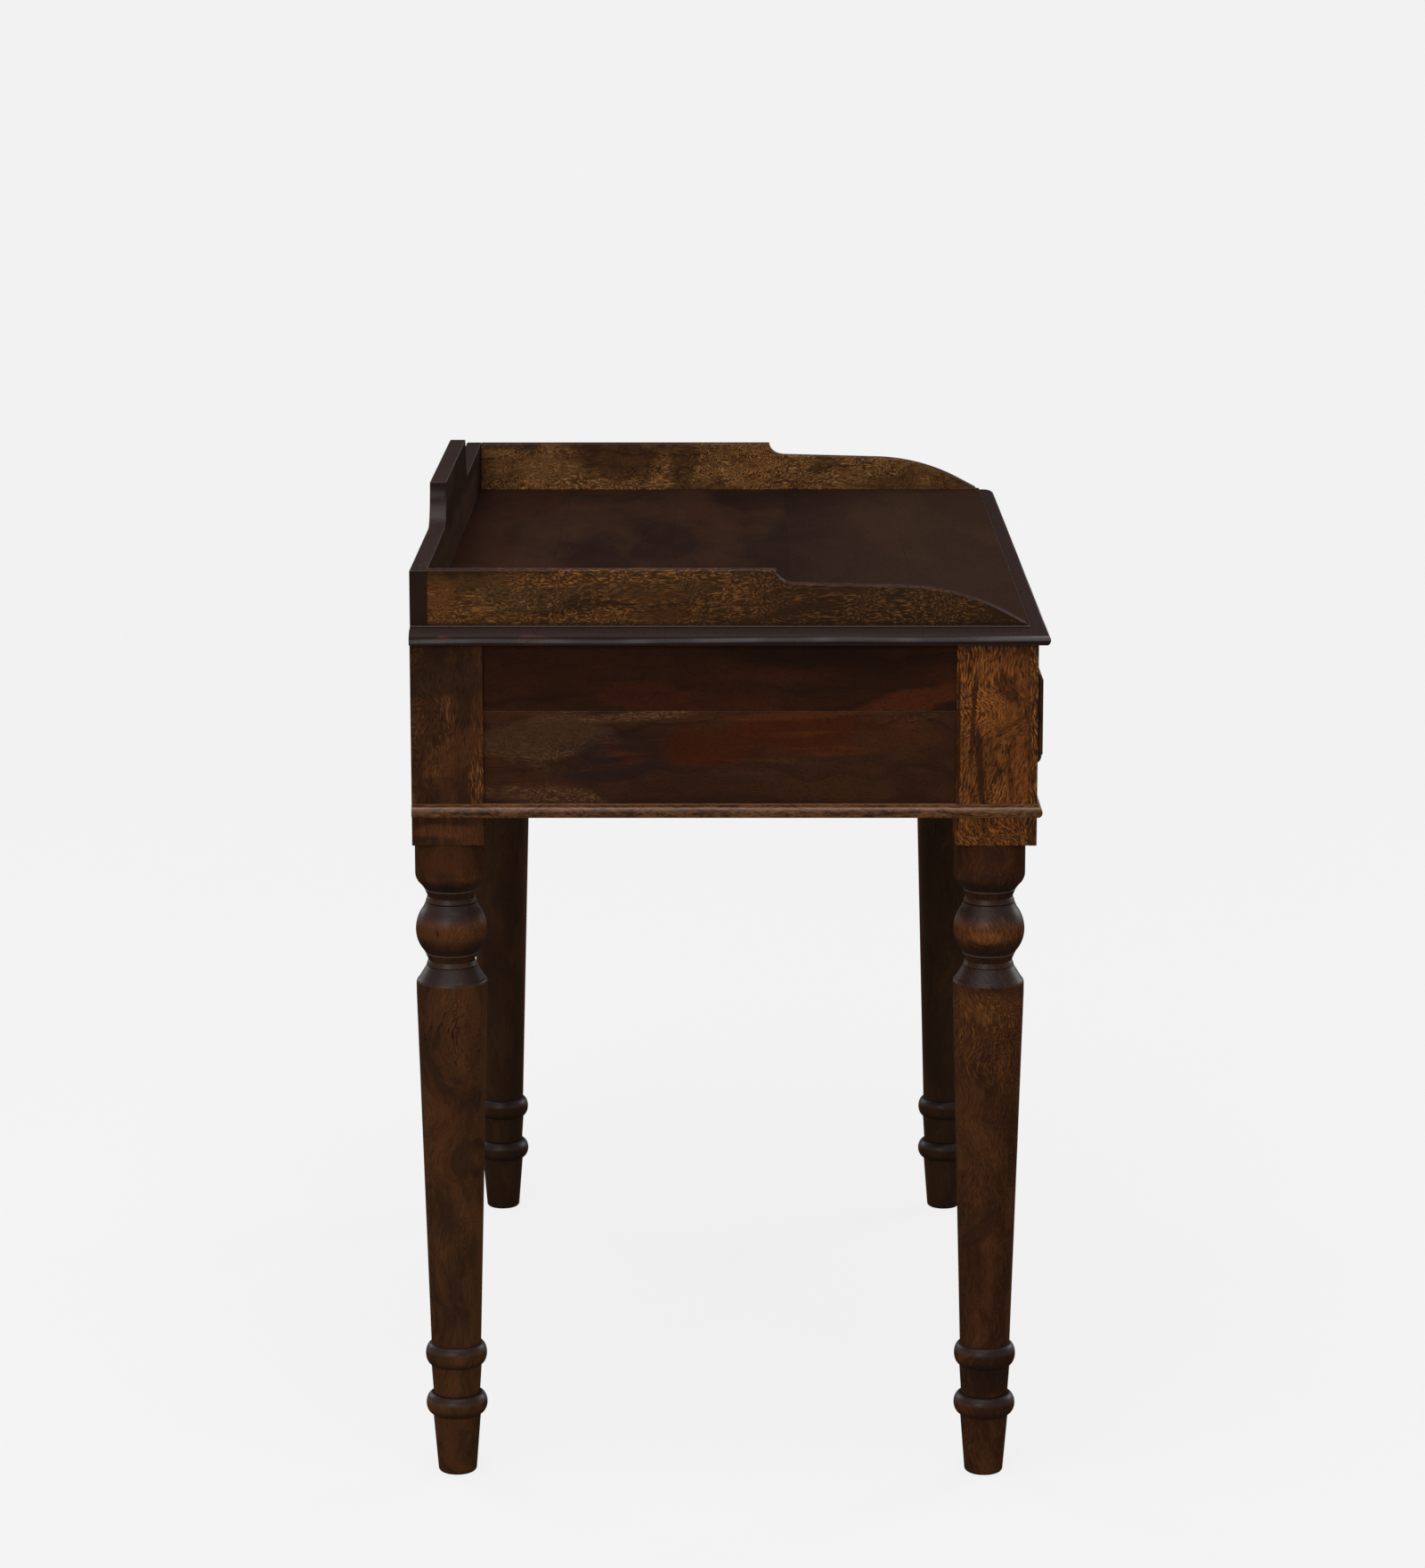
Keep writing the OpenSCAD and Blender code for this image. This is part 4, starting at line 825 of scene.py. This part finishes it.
# The drawers: a lipped front of figured sheesham, stained and waxed, and a box of the battens' pale wood,
# dovetailed to it, grooved for its bottom and open at the top.
front_wood = sheesham("drawer_front_wood", 0, 17.3, tone(48, 30, 19), tone(66, 44, 26), tone(33, 21, 15),
                      tone(72, 38, 21), heart=0.4, glow=0.35, fleck=0.5, hair=0.4, curly=0.7, ring=0.35,
                      wax=0.02, sheen=0.1)
box_side_wood = sheesham("drawer_side_wood", 1, 41.0, *batten_tones, **bare)
box_back_wood = sheesham("drawer_back_wood", 0, 43.0, *batten_tones, **bare)
for side in ("left", "right"):
    drawer = "drawer_" + side
    front = "drawer_front_" + side
    sanded(front, front + "_waxed", drawer, front_wood, radius=0.5)
    for part, wood in (("side_%s_outer", box_side_wood), ("side_%s_inner", box_side_wood),
                       ("back_%s", box_back_wood), ("bottom_%s", box_back_wood)):
        node = "drawer_" + part % side
        sanded(node, node + "_planed", drawer, wood, radius=0.4)

# The ring pulls: a domed plate, an eye and a ring of cast and turned brass, darkened by age and bright where
# fingers rub them. A steel nut on the eye's shank holds each to its drawer from inside.
METAL_RELIEF = 0.15


def metal(name, bright, dull, polish, tarnish):
    """Old metal: bright where fingers rub it, with dull spots, pits and fine scratches."""
    material, wire = blank(name)
    place = wire.node("ShaderNodeTexCoord", {}, {}, out="Object")
    age = step(cloud(place, 420.0, 4.0, 0.6), 0.40, 0.62)
    spots = step(cloud(place, 1500.0, 2.0), 0.58, 0.70)
    scratch = cloud(stretch(place, 5200.0, 500.0, 900.0), 1.0, 1.0)
    colour = blend(age * tarnish, bright, dull)
    colour = blend(spots * 0.5, colour, tone(52, 38, 24))
    surface = wire.node("ShaderNodeBsdfPrincipled", {}, {
        "Base Color": colour, "Metallic": 1.0, "Roughness": polish + age * 0.22 + scratch * 0.08,
        "Normal": bumped(scratch * 0.3 - spots, METAL_RELIEF)})
    wire.node("ShaderNodeOutputMaterial", {}, {"Surface": surface})
    return material


brass = metal("aged_brass", tone(158, 122, 70), tone(86, 64, 38), 0.30, 0.8)
steel = metal("plated_steel", tone(176, 176, 178), tone(118, 118, 122), 0.34, 0.5)
for side in ("left", "right"):
    for part, body, slot_name, finish in (
            ("plate", "drawer_", "brass", brass), ("eye", "drawer_", "brass", brass),
            ("nut", "drawer_", "steel", steel), ("ring", "ring_", "brass", brass)):
        node = "pull_%s_%s" % (part, side)
        sanded(node, node + "_worn", body + side, finish, radius=0.15, shortest=0.1, segments=2)

# The screws: countersunk wood screws of plated steel with a crossed slot. They go up through the top into the
# gallery, up through the kickers and sideways through the runners, each turned as the driver left it.
SLOT_SHARE, HALF_TURN, SCREW_SEED = 0.62, 3.14, 7
screw_tree, given = tree_of_nodes("countersunk_screw", {
    "Head Width": 8.0 * MM, "Head Height": 2.6 * MM, "Shank Width": 4.0 * MM, "Length": 35.0 * MM,
    "Slot Width": 1.1 * MM, "Slot Depth": 1.3 * MM, "Turn": (0.0, 0.0, 0.0), "Seed": SCREW_SEED})
head_width, head_height, full_length = [given.also(size) for size in ("Head Width", "Head Height", "Length")]
shank_radius = given.also("Shank Width") * 0.5
head = given.node("GeometryNodeMeshCone", {}, {
    "Vertices": 32, "Radius Top": shank_radius, "Radius Bottom": head_width * 0.5, "Depth": head_height})
slot_long, slot_wide = head_width * SLOT_SHARE, given.also("Slot Width")
slot_bars = [given.node("GeometryNodeMeshCube", {}, {"Size": xyz(given, x, y, given.also("Slot Depth") * 2)})
             for x, y in ((slot_long, slot_wide), (slot_wide, slot_long))]
head = given.node("GeometryNodeMeshBoolean", {"operation": "DIFFERENCE"}, {0: head, 1: joined(*slot_bars)})
shank = given.node("GeometryNodeMeshCylinder", {}, {
    "Vertices": 24, "Radius": shank_radius, "Depth": full_length - head_height})
shank = moved(shank, xyz(given, 0.0, 0.0, (full_length + head_height) * 0.5))
spin = given.node("FunctionNodeRandomValue", {"data_type": "FLOAT"},
                  {"Min": 0.0, "Max": HALF_TURN, "Seed": given.also("Seed")}, out=1)
placed = given.node("GeometryNodeInstanceOnPoints", {}, {
    "Points": given.also("Shape"), "Instance": joined(head, shank), "Rotation": given.also("Turn")})
placed = given.node("GeometryNodeRotateInstances", {},
                    {"Instances": placed, "Rotation": xyz(given, 0.0, 0.0, spin)})
close_tree(placed, given)

# Where the screws go: their distance from a piece's end, their bite, and the places of the pieces they hold
SCREW_MARGIN, BITE = 70.0, 10.0
GALLERY_X, GALLERY_BACK, GALLERY_THICK, SIDE_TALL = 441.0, 276.65, 15.0, 312.0
UNDER, RAIL_Y, INSIDE_Y = 747.0, -233.85, 255.65
SLIDE_OUTER, SLIDE_INNER, SLIDE, OPENING_Z, RUNNER_TALL = 368.0, 20.0, 18.0, 638.5, 20.0


def spaced(start, end):
    """The two ends and the middle of a run of screws."""
    return start, (start + end) / 2, end


def runner_places(s):
    """The heads of the runners' screws that point to the right for 1, or to the left for -1."""
    runs = spaced(LEG_FRONT_Y + POST / 2 + SCREW_MARGIN, LEG_BACK_Y - POST / 2 - SCREW_MARGIN)
    return [(s * x, y, OPENING_Z - RUNNER_TALL / 2)
            for x in (SLIDE_OUTER, -SLIDE_INNER - SLIDE) for y in runs]


side_end = GALLERY_BACK - SIDE_TALL + SCREW_MARGIN / 2
gallery_places = [(k * (GALLERY_X - SCREW_MARGIN), GALLERY_BACK - GALLERY_THICK / 2, UNDER)
                  for k in (-1, -1 / 3, 1 / 3, 1)]
gallery_places += [(s * (GALLERY_X - GALLERY_THICK / 2), y, UNDER)
                   for s in (-1, 1) for y in spaced(GALLERY_BACK - SCREW_MARGIN, side_end)]
top_places = [(s * (x + SLIDE / 2), y, UNDER - BITE) for s in (-1, 1) for x in (SLIDE_OUTER, SLIDE_INNER)
              for y in spaced(RAIL_Y + SCREW_MARGIN, INSIDE_Y - SCREW_MARGIN)]
screw_sets = {
    "gallery_screws": [(gallery_places, TOP - UNDER + 2 * BITE, (0.0, 0.0, 0.0))],
    "top_screws": [(top_places, 2 * BITE, (0.0, 0.0, 0.0))],
    "runner_screws": [(runner_places(s), SLIDE + BITE, (0.0, s * radians(90), 0.0)) for s in (1, -1)],
}
for node, runs in screw_sets.items():
    for number, (places, length, turn) in enumerate(runs):
        points = bpy.data.meshes.new(node + "_places")
        points.from_pydata([Vector(p) * MM for p in places], [], [])
        values = {"Length": length * MM, "Turn": turn, "Seed": SCREW_SEED + number}
        piece = grown("%s_%d" % (node, number), points, screw_tree, values, steel)
        shade(piece.data)
        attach(piece, "table")
        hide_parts(node)
